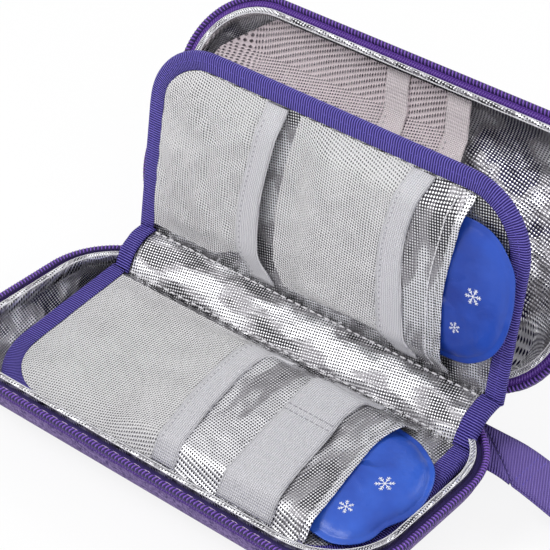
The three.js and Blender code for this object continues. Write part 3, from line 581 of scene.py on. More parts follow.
# One turn of the coil: its section along the zip and up, how much painted highlight
# each corner of that section gets, crest lit and flanks in painted shade, and its
# stations as offset, rise and share of the full thickness.
turn_section = [(0.46, 0.2), (0.43, 1.5), (0.0, 2.0), (-0.43, 1.5), (-0.46, 0.2), (0.0, 0.0)]
turn_highlight = [0, 0.3, 1, 0.3, 0, 0]
turn_stations = [(-0.72, -0.75, 0.7), (-0.2, -0.05, 1.0), (0.9, 0.05, 1.0), (1.7, -0.35, 0.6)]
turn_foot, turn_lean, turn_middle = 2.35, 0.25, 0.6
thin_height = 0.6
# A stitch: places along it, as shares of its length, and the thread's thickness there.
dash_shares = [(-0.5, 0.35), (-0.28, 0.95), (0.28, 0.95), (0.5, 0.35)]
dash_sink = 0.7
seam_step = 1.5
# Rows of thread on the tape: a seat is drop and offset, a dash is pitch, length and radius.
bottom_seam_seat, bottom_seam_dash = (2.85, 2.5), (5.0, 3.6, 0.27)
lid_rib_seat, lid_rib_dash = (1.28, 3.1), (1.15, 2.0, 0.2)
tape_rib_seat, tape_rib_dash = (3.7, -0.36), (1.15, 1.9, 0.13)
tape_rib_slant = 1.2


def zip_pieces():
    """The straights and turns that the zip follows, each with its length."""
    right, up = math.pi / 2, corner_radius * math.pi / 2
    x, y = corner_x, corner_y
    return [
        (x - zip_end, lambda t: (mix(zip_end, x, t), y, right)),
        (up, lambda t: (x, y, mix(right, 0, t))),
        (2 * y, lambda t: (x, mix(y, -y, t), 0)),
        (up, lambda t: (x, -y, mix(0, -right, t))),
        (2 * x, lambda t: (mix(x, -x, t), -y, -right)),
        (up, lambda t: (-x, -y, mix(-right, -2 * right, t))),
        (2 * y, lambda t: (-x, mix(-y, y, t), math.pi)),
        (up, lambda t: (-x, y, mix(math.pi, right, t))),
        (x - zip_end, lambda t: (mix(-x, -zip_end, t), y, right)),
    ]


def zip_samples(pitch):
    """Places along the zip, one pitch apart, each with its distance from the start."""
    pieces = zip_pieces()
    total = sum(length for length, at in pieces)
    count = round(total / pitch)
    samples = []
    for i in range(count + 1):
        run = min(total * i / count, total - 1e-6)
        for length, at in pieces:
            if run <= length:
                samples.append((at(run / length), total * i / count))
                break
            run -= length
    return samples


def rim_spot(sample, drop, offset):
    drop, inset = wall(rear_share(sample[2]), drop, offset, False)
    return wall_point(sample, drop, inset)


def carried_cloth(runs, section):
    """Faces and cloth coordinates of a section carried along runs of cloth."""
    across = [0.0]
    for before, after in zip(section, section[1:]):
        across.append(across[-1] + math.dist(before, after))
    rows = len(section)
    faces, flats = [], []
    for i in range(len(runs) - 1):
        for j in range(rows - 1):
            a = i * rows + j
            faces.append((a, a + rows, a + rows + 1, a + 1))
            r0, r1 = runs[i], runs[i + 1]
            near, far = across[j], across[j + 1]
            flats.append([(r0, near), (r1, near), (r1, far), (r0, far)])
    return faces, flats


def strip_along_zip(name, section, material, body, place):
    """A cloth strip whose section is carried along the zip."""
    samples = zip_samples(tape_step)
    points = []
    for sample, run in samples:
        for drop, offset in section:
            spot = rim_spot(sample, drop, offset)
            points.append(place(spot) if place else spot)
    faces, flats = carried_cloth([run for sample, run in samples], section)
    return face_outward(make_piece(name, points, faces, material, body, flats))


def add_tube(faces, start, stations, sides):
    """Faces of a short closed tube whose points begin at start."""
    for r in range(stations - 1):
        for k in range(sides):
            a, b = start + r * sides + k, start + r * sides + (k + 1) % sides
            faces.append((a, b, b + sides, a + sides))
    last = start + (stations - 1) * sides
    faces.append(tuple(start + k for k in reversed(range(sides))))
    faces.append(tuple(last + k for k in range(sides)))


def coil_turns(name, material, body, place):
    """The coil's turns: small rounded loops that lean a little along the zip."""
    points, faces, flats = [], [], []
    sides = len(turn_section)
    for sample, run in zip_samples(turn_pitch):
        x, y, angle = sample
        along = Vector((-math.sin(angle), math.cos(angle), 0))
        start = len(points)
        for offset, rise, slim in turn_stations:
            for side, height in turn_section:
                lean = turn_lean * (offset - turn_middle)
                drop = turn_foot - (height + rise) * mix(thin_height, 1, slim)
                spot = rim_spot(sample, drop, offset)
                spot += along * (side * slim + lean)
                points.append(place(spot) if place else spot)
        add_tube(faces, start, len(turn_stations), sides)
        for r in range(len(turn_stations) - 1):
            for k in range(sides):
                # Each corner's cloth coordinate carries its painted highlight.
                here, there = (0, turn_highlight[k]), (0, turn_highlight[(k + 1) % sides])
                flats.append([here, there, there, here])
        flats.append([(0, 0)] * sides)
        flats.append([(0, 0)] * sides)
    return face_outward(make_piece(name, points, faces, material, body, flats))


def stitches(name, line, normal_at, dash, material, body, slant=0.0):
    """Thread dashes along a line: each lies on the cloth and dips in at its ends."""
    pitch, length, radius = dash
    points, faces = [], []
    run, target = 0.0, pitch / 2
    sides = 6
    for i in range(len(line) - 1):
        a, b = line[i], line[i + 1]
        span = (b - a).length
        while span > 0 and run + span >= target:
            centre = a.lerp(b, (target - run) / span)
            along = (b - a).normalized()
            up = normal_at(i)
            along = Matrix.Rotation(slant, 3, up) @ along
            side = along.cross(up).normalized()
            start = len(points)
            for t, swell in dash_shares:
                for k in range(sides):
                    turn_by = k * math.pi / 3
                    sink = (1 - swell) * radius * dash_sink
                    lift = up * (math.sin(turn_by) * radius * swell - sink)
                    aside = side * (math.cos(turn_by) * radius * swell)
                    points.append(centre + along * (t * length) + aside + lift)
            add_tube(faces, start, len(dash_shares), sides)
            target += pitch
        run += span
    return face_outward(make_piece(name, points, faces, material, body))


def thread(name, dark, light, roughness=0.6):
    """Sewing thread in two shades of a fine twist."""
    return grained(name, 3000, (0.3, dark), (0.7, light), 0.08, Roughness=roughness)


tape_cloth = new_material("zip_tape_cloth")
tape_half = calc(tape_cloth, "MULTIPLY", ripple(tape_cloth, "X", 0.9), 0.5)
tape_weave = calc(tape_cloth, "ADD", tape_half, ripple(tape_cloth, "Y", 1.4))
tape_level = around_middle(tape_cloth, tape_weave, 0.3)
tape_tone = shades(tape_cloth, tape_level, (0.1, tape_dark), (0.75, tape_light))
tape_relief = bump(tape_cloth, tape_weave, 0.15)
shade(tape_cloth, Base_Color=tape_tone, Roughness=0.65, Specular_IOR_Level=0.3, Normal=tape_relief)

# Painted highlight on each turn's crest and painted shade on its flanks, over a faint random haze.
coil_nylon = new_material("coil_nylon")
coil_haze = cloud(coil_nylon, spot_on(coil_nylon), 600)
coil_crest_highlight = calc(coil_nylon, "MULTIPLY", ripple(coil_nylon, "Y", 4), 0.7)
coil_highlight_and_haze = with_share(coil_nylon, coil_crest_highlight, coil_haze, 0.15)
coil_tone = shades(coil_nylon, coil_highlight_and_haze, (0.12, coil_shade), (0.4, coil_purple), (0.8, coil_highlight))
coil_relief = bump(coil_nylon, coil_haze, 0.05)
shade(coil_nylon, Base_Color=coil_tone, Roughness=0.4, Specular_IOR_Level=0.3, Normal=coil_relief)

# The core is painted dark: painted shade in the gaps between the coil's turns.
core_nylon = new_material("core_nylon")
core_ribs = ripple(core_nylon, "X", turn_pitch / 2)
core_tone = shades(core_nylon, core_ribs, (0.2, core_shaded_dark), (0.8, core_shaded_light))
shade(core_nylon, Base_Color=core_tone, Roughness=0.5, Normal=bump(core_nylon, core_ribs, 0.1))

# The bottom's channel is a purple weave painted dark: painted shade between the coil and the foil.
shaded_channel_cloth = new_material("shaded_channel_cloth")
channel_warp, channel_weft = ripple(shaded_channel_cloth, "X", 0.8), ripple(shaded_channel_cloth, "Y", 0.8)
channel_weave = calc(shaded_channel_cloth, "MULTIPLY", channel_warp, channel_weft)
channel_tone = shades(shaded_channel_cloth, channel_weave, (0.0, channel_shaded_dark), (0.9, channel_shaded_light))
channel_relief = bump(shaded_channel_cloth, channel_weave, 0.1)
shade(shaded_channel_cloth, Base_Color=channel_tone, Roughness=0.85, Normal=channel_relief)

white_thread = thread("white_thread", colour(205, 203, 208), colour(244, 243, 246))
pink_thread = thread("pink_thread", colour(196, 172, 204), colour(236, 218, 240))
tape_thread = thread("tape_thread", colour(96, 62, 160), colour(150, 116, 200))


def zip_half(prefix, body, place, channel, channel_material):
    """One half of the zip: tape, coil, the core in it painted dark as shade, and the cloth inside it."""
    tape = strip_along_zip(prefix + "_zip_tape_cloth", tape_section, tape_cloth, body, place)
    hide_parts(prefix + "_zip_tape")
    coil = coil_turns(prefix + "_zip_coil_turns", coil_nylon, body, place)
    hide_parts(prefix + "_zip_coil")
    core = strip_along_zip(prefix + "_zip_coil_core", core_section, core_nylon, body, place)
    inner = strip_along_zip(prefix + "_zip_channel", channel, channel_material, body, place)


def rim_stitches(name, seat, dash, material, body, place, slant=0.0, outward=False, front_only=False):
    """A row of thread on the zip tape, on its face or on its outside."""
    samples = [sample for sample, run in zip_samples(seam_step)]
    if front_only:
        samples = [sample for sample in samples if abs(sample[2] + math.pi / 2) < 0.01]
    line = [rim_spot(sample, *seat) for sample in samples]
    if outward:
        ups = [Vector((math.cos(angle), math.sin(angle), 0)) for x, y, angle in samples]
    else:
        ups = [Vector((0, 0, 1))] * len(samples)
    if place:
        line = [place(p) for p in line]
        ups = [(place(up) - place(Vector((0, 0, 0)))).normalized() for up in ups]
    seam = stitches(name, line, lambda i: ups[i], dash, material, body, slant)


zip_half("bottom", "bottom_shell", None, bottom_channel, shaded_channel_cloth)
rim_stitches("bottom_rim_stitches", bottom_seam_seat, bottom_seam_dash, pink_thread, "bottom_shell", None,
             front_only=True)
rim_stitches("bottom_tape_ribs", tape_rib_seat, tape_rib_dash, tape_thread, "bottom_shell", None,
             tape_rib_slant, outward=True)
zip_half("lid", "lid", in_lid, lid_channel, tape_cloth)
rim_stitches("lid_rim_ribs", lid_rib_seat, lid_rib_dash, tape_thread, "lid", in_lid, tape_rib_slant)
rim_stitches("lid_tape_ribs", tape_rib_seat, tape_rib_dash, tape_thread, "lid", in_lid,
             tape_rib_slant, outward=True)


# Hinge
# One width of the shell's oxford joins the two halves along the back, sewn to both
# walls, and folds on the line between them.

hinge_half = 56
hinge_thickness = 0.6
sewn_y, sewn_z = 53.7, 19.0
hinge_cell = (2.8, 1.2)
hinge_wave = 0.25


def uneven(x, y, seed, pace_x, pace_y):
    """Smooth unevenness over a cloth, from -1 to 1."""
    return noise.noise(Vector((x * pace_x, y * pace_y, seed)))


def hinge_cloth():
    columns, rows = 40, 14
    points, faces, flats = [], [], []
    for i in range(columns + 1):
        x = mix(-hinge_half, hinge_half, i / columns)
        for j in range(rows + 1):
            t = j / rows
            if t <= 0.5:
                share = t * 2
                y, z = mix(sewn_y, hinge_y, smooth(share)), mix(sewn_z, hinge_z, share)
            else:
                share = (t - 0.5) * 2
                closed = Vector((0, mix(hinge_y, sewn_y, smooth(share)), mix(hinge_z, sewn_z, share)))
                moved = in_lid(closed)
                y, z = moved.y, moved.z
            wave = hinge_wave * uneven(x, t, 2, 0.08, 3)
            points.append(Vector((x, y + wave, z)))
    wide, high = hinge_cell
    for i in range(columns):
        for j in range(rows):
            a = i * (rows + 1) + j
            faces.append((a, a + rows + 1, a + rows + 2, a + 1))
            left, low = i * wide, j * high
            right, top = left + wide, low + high
            flats.append([(left, low), (right, low), (right, top), (left, top)])
    made = make_piece("hinge_cloth", points, faces, oxford, None, flats)
    thick = made.modifiers.new("cloth", "SOLIDIFY")
    thick.thickness = hinge_thickness * mm
    thick.offset = 0
    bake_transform(made)
    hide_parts("hinge_gusset_lower", "hinge_gusset_upper")


hinge_cloth()


# Lid pockets
# A pinkish net lies across the lid's hollow in two pieces. Flat woven elastic edges
# the mouth of each, with one row of small needle marks along it.

net_light, net_shade = colour(240, 239, 240), colour(130, 127, 131)
lid_net_light, lid_net_shade = colour(238, 224, 228), colour(132, 116, 122)
elastic_light, elastic_shade = colour(238, 237, 241), colour(182, 181, 190)
# The lid's elastic is pinkish like the real bands, and painted brighter than the flat elastic as painted
# light against the shade in the lid's hollow.
lid_elastic_brightened_light, lid_elastic_brightened_shade = colour(255, 244, 246), colour(212, 200, 204)
lid_front, lid_rear, lid_deep = -38.2, 41.5, 17.4
lid_bulge, lid_ripple = 2.5, 0.5
# Towards the front and the left end the net climbs the lid's rounded wall.
lid_climb, climb_run = 9.5, 9
climb_reach, aside_reach = 7.2, 5
aside_from = -86
lid_side_inset = 15
lid_band_width, lid_band_lift, lid_band_thickness = 10.5, 0.6, 0.7
lid_overlap = 10
lid_dot_front, lid_dot_rear, lid_dot_inset, lid_dot_lift = -28, 40, 1.8, 1.4
lid_dash = (2.4, 0.9, 0.2)
# The bands' sides across the lid at one place from the hinge, and their slopes.
band_from = -40
left_band_x, left_band_slope = -15.5, 0.12
right_band_x, right_band_slope = 13.5, 0.1


def grid(name, columns, rows, spot, material, body, place=None, flat=None):
    """An open cloth: spot(u, v) gives its point, and flat(u, v) its cloth coordinates."""
    points, faces, flats = [], [], []
    for i in range(columns + 1):
        for j in range(rows + 1):
            p = spot(i / columns, j / rows)
            points.append(place(p) if place else p)
    for i in range(columns):
        for j in range(rows):
            a = i * (rows + 1) + j
            faces.append((a, a + rows + 1, a + rows + 2, a + 1))
            corners = ((i, j), (i + 1, j), (i + 1, j + 1), (i, j + 1))
            flats.append([flat(c / columns, r / rows) for c, r in corners])
    return make_piece(name, points, faces, material, body, flats)


def net_cloth(name, pitch, light, dark, openness):
    """Warp-knit net: a lattice of small holes that lets light through."""
    made = new_material(name)
    holes = calc(made, "MULTIPLY", ripple(made, "X", pitch, 0.9), ripple(made, "Y", pitch * 0.8, 0.9))
    drift = calc(made, "SUBTRACT", cloud(made, spot_on(made), 60), 0.5)
    level = with_share(made, holes, drift, 0.5)
    tone = shades(made, level, (0.0, light), (0.55, dark))
    open_share = calc(made, "MULTIPLY", calc(made, "GREATER_THAN", level, 0.42), openness)
    shade(made, Base_Color=tone, Roughness=0.75, Sheen_Weight=0.2, Normal=bump(made, holes, -0.25))
    return shade(made, Alpha=calc(made, "SUBTRACT", 1.0, open_share))


def elastic_cloth(name, light, dark):
    """Woven elastic: fine ribs along its length, crossed by a knit."""
    made = new_material(name)
    level = with_share(made, ripple(made, "X", 0.85), ripple(made, "Y", 0.7), 0.45)
    tone = shades(made, around_middle(made, level, 0.34), (0.0, dark), (0.6, light))
    return shade(made, Base_Color=tone, Roughness=0.7, Sheen_Weight=0.2, Normal=bump(made, level, 0.16))


def thicken(piece, thickness, offset=0.0):
    made = piece.modifiers.new("thickness", "SOLIDIFY")
    made.thickness = thickness * mm
    made.offset = offset
    return piece


def facing(place):
    """The direction that a placed piece's upper side faces."""
    return (place(Vector((0, 0, 1))) - place(Vector((0, 0, 0)))).normalized()


grey_thread = thread("grey_thread", colour(126, 124, 132), colour(178, 176, 184), roughness=0.7)
lid_net = net_cloth("lid_net", 1.9, lid_net_light, lid_net_shade, 0.75)
elastic = elastic_cloth("flat_elastic", elastic_light, elastic_shade)
# A brighter copy of the flat elastic: painted light for the lid's shaded hollow.
lid_elastic = elastic_cloth("lid_elastic", lid_elastic_brightened_light, lid_elastic_brightened_shade)


def lid_cloth(name, left, right, material, node_name, lift):
    """Cloth across the lid between two side lines, sewn down at its front and rear."""
    def spot(u, v):
        y = mix(lid_front, lid_rear, v)
        x = mix(left(y), right(y), u)
        rise = lid_bulge * math.sin(math.pi * v) + lid_ripple * uneven(x, y, 5, 0.07, 0.07) + lift
        climb = 1 - smooth((y - lid_front) / climb_run)
        aside = 1 - smooth((x - aside_from) / climb_run)
        depth = lid_deep - max(rise, 0) - lid_climb * max(climb, aside)
        return Vector((x - aside_reach * aside, y - climb_reach * climb, shell_depth - depth))

    def flat(u, v):
        y = mix(lid_front, lid_rear, v)
        return (mix(left(y), right(y), u), y)

    made = grid(name, 16, 20, spot, material, "lid", in_lid, flat)
    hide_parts(node_name)
    width = abs(right(0) - left(0))
    return made


def lid_band_left(y):
    return left_band_x + left_band_slope * (y - band_from)


def lid_band_right(y):
    return right_band_x + right_band_slope * (y - band_from)


def lid_net_side(y):
    """The left net follows the lid's rounded corners."""
    reach = corner_radius - lid_side_inset
    beyond = max(0, abs(y) - corner_y)
    return -corner_x - math.sqrt(max(reach ** 2 - beyond ** 2, 0))


def lid_right_side(y):
    return lid_band_left(y) + lid_overlap


def lid_band(name, side, node_name):
    """An elastic band on a net's mouth, with its row of needle marks."""
    def far_side(y):
        return side(y) + lid_band_width

    made = lid_cloth(name, side, far_side, lid_elastic, node_name, lid_band_lift)
    thicken(made, lid_band_thickness)
    line = []
    for y in range(lid_dot_front, lid_dot_rear):
        share = (y - lid_front) / (lid_rear - lid_front)
        rise = lid_bulge * math.sin(math.pi * share) + lid_dot_lift
        line.append(in_lid(Vector((side(y) + lid_dot_inset, y, shell_depth - lid_deep + rise))))
    lid_out = facing(in_lid)
    dots = stitches(name + "_dots", line, lambda i: lid_out, lid_dash, grey_thread, "lid")


lid_cloth("lid_net_left", lid_net_side, lid_band_left, lid_net, "lid_mesh_pocket_left", 0)
lid_cloth("lid_net_right", lid_right_side, lid_band_right, lid_net, "lid_mesh_pocket_right", 0)
lid_band("lid_band_left", lid_band_left, "lid_elastic_left")
lid_band("lid_band_right", lid_band_right, "lid_elastic_right")


# Lower leaf
# A foam board faced with the same foil lies in the bottom shell. Its three free edges
# are bound with ribbed grosgrain, and net, elastic and foil pockets are sewn on top.

leaf_middle, leaf_half = 1.5, 88.5
fold_y, fold_z = 39, 19
lower_tilt = math.radians(6.3)
lower_place = Matrix.Translation((leaf_middle, fold_y, fold_z)) @ Matrix.Rotation(lower_tilt, 4, "X")
lower_height, lower_radius = 83, 30
binding_width, binding_thickness = 7.6, 0.35
binding_light, binding_blue = colour(150, 138, 234), colour(106, 92, 208)
binding_dark = colour(38, 26, 112)
binding_seam_inset, binding_seam_height = 3.6, 1.72
binding_dash, binding_ruffle = (2.6, 1.8, 0.17), 0.1
# The binding's section round the board's edge, as inset and height.
binding_top = [
    (binding_width, 1.45), (6.6, 1.72), (5.0, 1.8), (3.6, 1.66), (2.0, 1.8), (0.8, 1.6), (0.15, 0.9),
]
binding_section = binding_top + [(0.0, 0.0)] + [(inset, -high) for inset, high in reversed(binding_top)]
# The padded board's rings, as inset from its edge and height of its face.
board_top = [(26, 1.5), (14, 1.45), (8, 1.3), (3, 1.1), (0.9, 0.8)]
board_section = board_top + [(inset, -high) for inset, high in reversed(board_top)]
binding_seam, board_seam = 0.4, 0.6
board_fill, board_ripple = 0.25, 0.12
edge_swell, swell_run = 0.45, 9
side_steps, corner_steps, front_steps = 9, 10, 16
cloth_seat, pack_rise = 1.5, 8.3
band_thickness, band_lift = 0.8, 0.5
hem_width, hem_overhang, hem_lift, hem_thickness = 2.8, 0.15, 0.3, 0.4
dot_inset, dot_lift = 1.9, 0.5
dots_from, dots_to = 5, 74
dot_dash = (2.3, 0.8, 0.17)
net_tuck = 0.2
wrinkle_fade = 10


def on_leaf(place, side):
    """A point at world x, distance s from the seam and height h above the mid plane."""
    def at(x, s, h):
        return place @ Vector((x - leaf_middle, -s, side * h))
    return at


def leaf_facing(at):
    return (at(0, 0, 1) - at(0, 0, 0)).normalized()


def edge_samples(height, radius, seam):
    """Centres, outward directions and run along a leaf's three free edges."""
    samples = []
    reach = leaf_half - radius
    foot = height - radius
    for i in range(side_steps):
        samples.append(((reach, mix(seam, foot, i / side_steps)), (1, 0)))
    for i in range(corner_steps + 1):
        turn_by = i / corner_steps * math.pi / 2
        samples.append(((reach, foot), (math.cos(turn_by), math.sin(turn_by))))
    for i in range(1, front_steps):
        samples.append(((mix(reach, -reach, i / front_steps), foot), (0, 1)))
    for i in range(corner_steps + 1):
        turn_by = math.pi / 2 + i / corner_steps * math.pi / 2
        samples.append(((-reach, foot), (math.cos(turn_by), math.sin(turn_by))))
    for i in range(1, side_steps + 1):
        samples.append(((-reach, mix(foot, seam, i / side_steps)), (-1, 0)))
    runs = [0.0]
    spots = [(c[0] + n[0] * radius, c[1] + n[1] * radius) for c, n in samples]
    for a, b in zip(spots, spots[1:]):
        runs.append(runs[-1] + math.dist(a, b))
    return samples, runs


def edge_spot(sample, radius, inset):
    centre, out = sample
    reach = radius - inset
    return leaf_middle + centre[0] + out[0] * reach, centre[1] + out[1] * reach


def ribbed(name, rib_pitch, thread_pitch, thread_share, contrast, relief, *stops):
    """Ribs across a woven tape, over its fine threads."""
    made = new_material(name)
    ribs = ripple(made, "X", rib_pitch)
    level = with_share(made, ribs, ripple(made, "Y", thread_pitch), thread_share)
    tone = shades(made, around_middle(made, level, contrast), *stops)
    woven = bump(made, level, relief)
    return shade(made, Base_Color=tone, Roughness=0.6, Specular_IOR_Level=0.25, Normal=woven)


grosgrain_stops = ((0.25, binding_dark), (0.6, binding_blue), (0.9, binding_light))
grosgrain = ribbed("grosgrain", 1.05, 0.5, 0.2, 0.4, 0.4, *grosgrain_stops)
purple_thread = thread("purple_thread", colour(80, 66, 176), colour(128, 114, 214))
board_foil = foil_cloth("board_foil", 1.6, 14, (1, 1, 1), share=0.5)
pocket_foil = foil_cloth("pocket_foil", 1.6, 12, (1, 0.3, 0.3), share=0.46)
# The hem's foil has less of its painted reflection dark, so it lies brighter.
hem_foil = foil_cloth("hem_foil", 1.5, 30, (1, 1, 1), share=0.3, crumple=0.1)
leaf_net = net_cloth("leaf_net", 1.7, net_light, net_shade, 0.7)


def round_off(piece):
    smoother = piece.modifiers.new("smooth", "SUBSURF")
    smoother.levels = smoother.render_levels = 1


def leaf_binding(name, height, radius, at, body, replaced):
    """Grosgrain folded round the board's edge, with its line of stitches."""
    samples, runs = edge_samples(height, radius, binding_seam)
    points = []
    for sample in samples:
        for inset, high in binding_section:
            x, s = edge_spot(sample, radius, inset)
            ruffle = binding_ruffle * uneven(x, s, high, 0.15, 0.15)
            points.append(at(x, s, high + ruffle))
    faces, flats = carried_cloth(runs, binding_section)
    made = make_piece(name, points, faces, grosgrain, body, flats)
    round_off(made)
    thicken(made, binding_thickness, 1.0)
    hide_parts(replaced)
    line = []
    for sample in samples:
        x, s = edge_spot(sample, radius, binding_seam_inset)
        line.append(at(x, s, binding_seam_height))
    up = leaf_facing(at)
    sewn = stitches(name + "_stitches", line, lambda i: up, binding_dash, purple_thread, body)


def leaf_board(name, height, radius, at, body, replaced):
    """The padded board: two foil faces that swell a little inside the binding."""
    samples, runs = edge_samples(height, radius, board_seam)
    rings = []
    for inset, h in board_section:
        ring = []
        for sample in samples:
            x, s = edge_spot(sample, radius, min(inset, radius - 1))
            if abs(sample[1][1]) < 1e-6:
                s = max(s, board_seam)
            near = min(1, edge_swell + s / swell_run)
            swell = h * near + board_ripple * uneven(x, s, h, 0.09, 0.09)
            ring.append((at(x, s, swell), (x, s)))
        rings.append(ring)
    made = skin(name, rings, board_foil, body)
    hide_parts(replaced)


def through(*stops):
    """A smooth line through (s, x) stops, which gives x at any s."""
    def at(s):
        s = min(max(s, stops[0][0]), stops[-1][0])
        for (s0, x0), (s1, x1) in zip(stops, stops[1:]):
            if s <= s1:
                before = stops[max(stops.index((s0, x0)) - 1, 0)]
                after = stops[min(stops.index((s1, x1)) + 1, len(stops) - 1)]
                m0 = (x1 - before[1]) / max(s1 - before[0], 1e-6)
                m1 = (after[1] - x0) / max(after[0] - s0, 1e-6)
                t, span = (s - s0) / (s1 - s0), s1 - s0
                return (
                    (2 * t ** 3 - 3 * t ** 2 + 1) * x0 + (t ** 3 - 2 * t ** 2 + t) * span * m0
                    + (3 * t ** 2 - 2 * t ** 3) * x1 + (t ** 3 - t ** 2) * span * m1
                )
        return stops[-1][1]
    return at


def hump(value, low, high, run):
    return smooth(min(value - low, high - value) / run)


def net_side(height, radius):
    """The line where a net follows the board's rounded corner, inside the binding."""
    corner = radius - binding_width

    def at(s):
        beyond = min(max(0, s - (height - radius)), corner)
        round_side = math.sqrt(max(corner ** 2 - beyond ** 2, 0))
        return leaf_middle - (leaf_half - radius) - round_side + net_tuck
    return at


def pocket_cloth(name, at, edges, ends, height, material, body, replaced,
                 steps=(24, 30), wrinkle=0.25, thickness=0.0, ribs=False, foot=lambda u: 0.0):
    """A pocket or band sewn on a leaf between two side lines and two ends.

    The length of its name picks its wrinkles, so that they differ from piece to piece.
    """
    seed = len(name)

    def spot(u, v):
        s = mix(ends[0] + foot(u), ends[1], v)
        x = mix(edges[0](s), edges[1](s), u)
        loose = hump(s, ends[0], ends[1], wrinkle_fade)
        crease = wrinkle * loose * uneven(x, s, seed, 0.12, 0.08)
        crease += 0.5 * wrinkle * loose * uneven(x, s, seed + 3, 0.35, 0.2)
        return at(x, s, height(x, s) + crease)

    def flat(u, v):
        s = mix(ends[0] + foot(u), ends[1], v)
        if ribs:
            return (u * (edges[1](s) - edges[0](s)), s)
        return (mix(edges[0](s), edges[1](s), u), s)

    made = grid(name, steps[0], steps[1], spot, material, body, None, flat)
    if thickness:
        thicken(made, thickness)
    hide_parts(replaced)


def leaf_band(name, at, edges, ends, height, body, replaced,
              steps=(6, 44), wrinkle=0.1):
    """An elastic band across a leaf. Its ribs run along it."""
    pocket_cloth(name, at, edges, ends, height, elastic, body, replaced,
                 steps=steps, wrinkle=wrinkle, thickness=band_thickness, ribs=True)


def band_dots(name, at, side, height, body):
    """One row of small needle marks along the net's side of an elastic band."""
    out = leaf_facing(at)
    line = []
    for s in range(dots_from, dots_to):
        x = side(s) + dot_inset
        line.append(at(x, s, height(x, s) + dot_lift))
    dots = stitches(name, line, lambda i: out, dot_dash, grey_thread, body)


def mouth_hem(name, at, mouth, ends, height, body):
    """The pocket's folded edge, in foil whose painted reflection lies brighter than the rest."""
    def spot(u, v):
        s = mix(*ends, v)
        return at(mouth(s) + mix(-hem_width, hem_overhang, u), s, height(0, s) + hem_lift)

    made = grid(name, 4, 40, spot, hem_foil, body, None, lambda u, v: (u * 3, mix(*ends, v)))
    thicken(made, hem_thickness)


lower_at = on_leaf(lower_place, 1)
leaf_board("lower_board_foil", lower_height, lower_radius, lower_at, "lower_leaf", "lower_leaf_board")
leaf_binding("lower_binding", lower_height, lower_radius, lower_at, "lower_leaf", "lower_leaf_binding")

# Side lines of the lower pockets, as distance from the fold and place across.
lower_ends = (3.2, 74.6)
pen_ends = (2.4, 74.8)
lower_band_left = through((3.2, 0.5), (10, -6.5), (17.5, -8.9), (39.5, -7.9), (58, -4.8), (74.6, -1.6))
lower_band_right = through((3.2, 11), (10, 4), (18.5, 1.7), (43, 3.5), (58, 5.8), (74.6, 9))
pen_left = through((2.6, 29), (13.4, 24.6), (31, 25.4), (51.6, 27), (74.6, 29.2))
pen_right = through((2.6, 51.5), (11.4, 47.8), (21, 46.6), (32.6, 48.4), (54, 50.4), (74.6, 54))
lower_mouth = through((3.2, 68.6), (20.4, 63.3), (39.7, 64.6), (56.3, 66.8), (74.6, 68.6))
lower_seam, lower_far = 2.6, 75.5
lower_puff_run, lower_net_run = 9, 12
lower_net_bulge, net_flat_to, net_rise_run = 2.2, -80, 14
lower_pack_from, lower_pack_run = -34, 26
pen_lift, pen_seam_lift = 1.1, 1.55
pen_seams = (27.6, 30.6)
pen_dash = (2.4, 1.9, 0.2)
foil_under_band = 1.5


def lower_puff(x, s):
    """The foil pocket rises over its pack, and comes down to the board at both ends."""
    return mix(cloth_seat, pack_rise, hump(s, lower_seam, lower_far, lower_puff_run))


def lower_net_height(x, s):
    bulge = lower_net_bulge * hump(s, lower_seam, lower_far, lower_net_run)
    low = cloth_seat + bulge * smooth((x - net_flat_to) / net_rise_run)
    return mix(low, lower_puff(x, s), smooth((x - lower_pack_from) / lower_pack_run))


def lower_band_height(x, s):
    return lower_puff(x, s) + band_lift


def pen_band_height(x, s):
    return lower_puff(x, s) + pen_lift


def lower_foil_side(s):
    return lower_band_right(s) - foil_under_band


pocket_cloth("lower_net", lower_at, (net_side(lower_height, lower_radius), lower_band_left), lower_ends,
             lower_net_height, leaf_net, "lower_leaf", "lower_mesh_pocket",
             steps=(40, 36))
leaf_band("lower_band", lower_at, (lower_band_left, lower_band_right), lower_ends, lower_band_height,
          "lower_leaf", "lower_elastic_band", steps=(6, 40))
pocket_cloth("lower_foil_pocket", lower_at, (lower_foil_side, lower_mouth), lower_ends,
             lower_puff, pocket_foil, "lower_leaf", "lower_pack_pocket",
             steps=(40, 40), wrinkle=0.7)
mouth_hem("lower_mouth_hem", lower_at, lower_mouth, lower_ends, lower_puff, "lower_leaf")
leaf_band("pen_band", lower_at, (pen_left, pen_right), pen_ends, pen_band_height,
          "lower_leaf", "pen_strap", steps=(10, 44), wrinkle=0.12)

lower_out = leaf_facing(lower_at)
for index, s in enumerate(pen_seams):
    seam_height = lower_puff(0, s) + pen_seam_lift
    line = [lower_at(mix(pen_left(s), pen_right(s), i / 16), s, seam_height) for i in range(17)]
    seam_name = f"pen_band_stitches_{index + 1}"
    sewn = stitches(seam_name, line, lambda i: lower_out, pen_dash, grey_thread, "lower_leaf")
band_dots("lower_band_dots", lower_at, lower_band_left, lower_band_height, "lower_leaf")


# Spine
# A strip of the foil cloth joins the two leaves and bows up over the back rim. White
# lockstitch closes both folds, and grosgrain goes on round its two ends.

spine_length, spine_half = 20.8, 80
spine_bow, spine_end_bow = 2.6, 5
spine_lift = 0.65
spine_turn = math.radians(36)
spine_place = Matrix.Translation((leaf_middle, fold_y, fold_z)) @ Matrix.Rotation(spine_turn, 4, "X")
fold_seam_inset, fold_seam_lift = 0.9, 0.4
fold_dash = (3.6, 2.6, 0.42)
bow_from, bow_run = 60, 24
spine_crease, spine_fine_crease, crease_floor = 0.8, 0.35, -0.4
end_inset, end_overrun, end_sink = 1.2, 0.6, 0.2


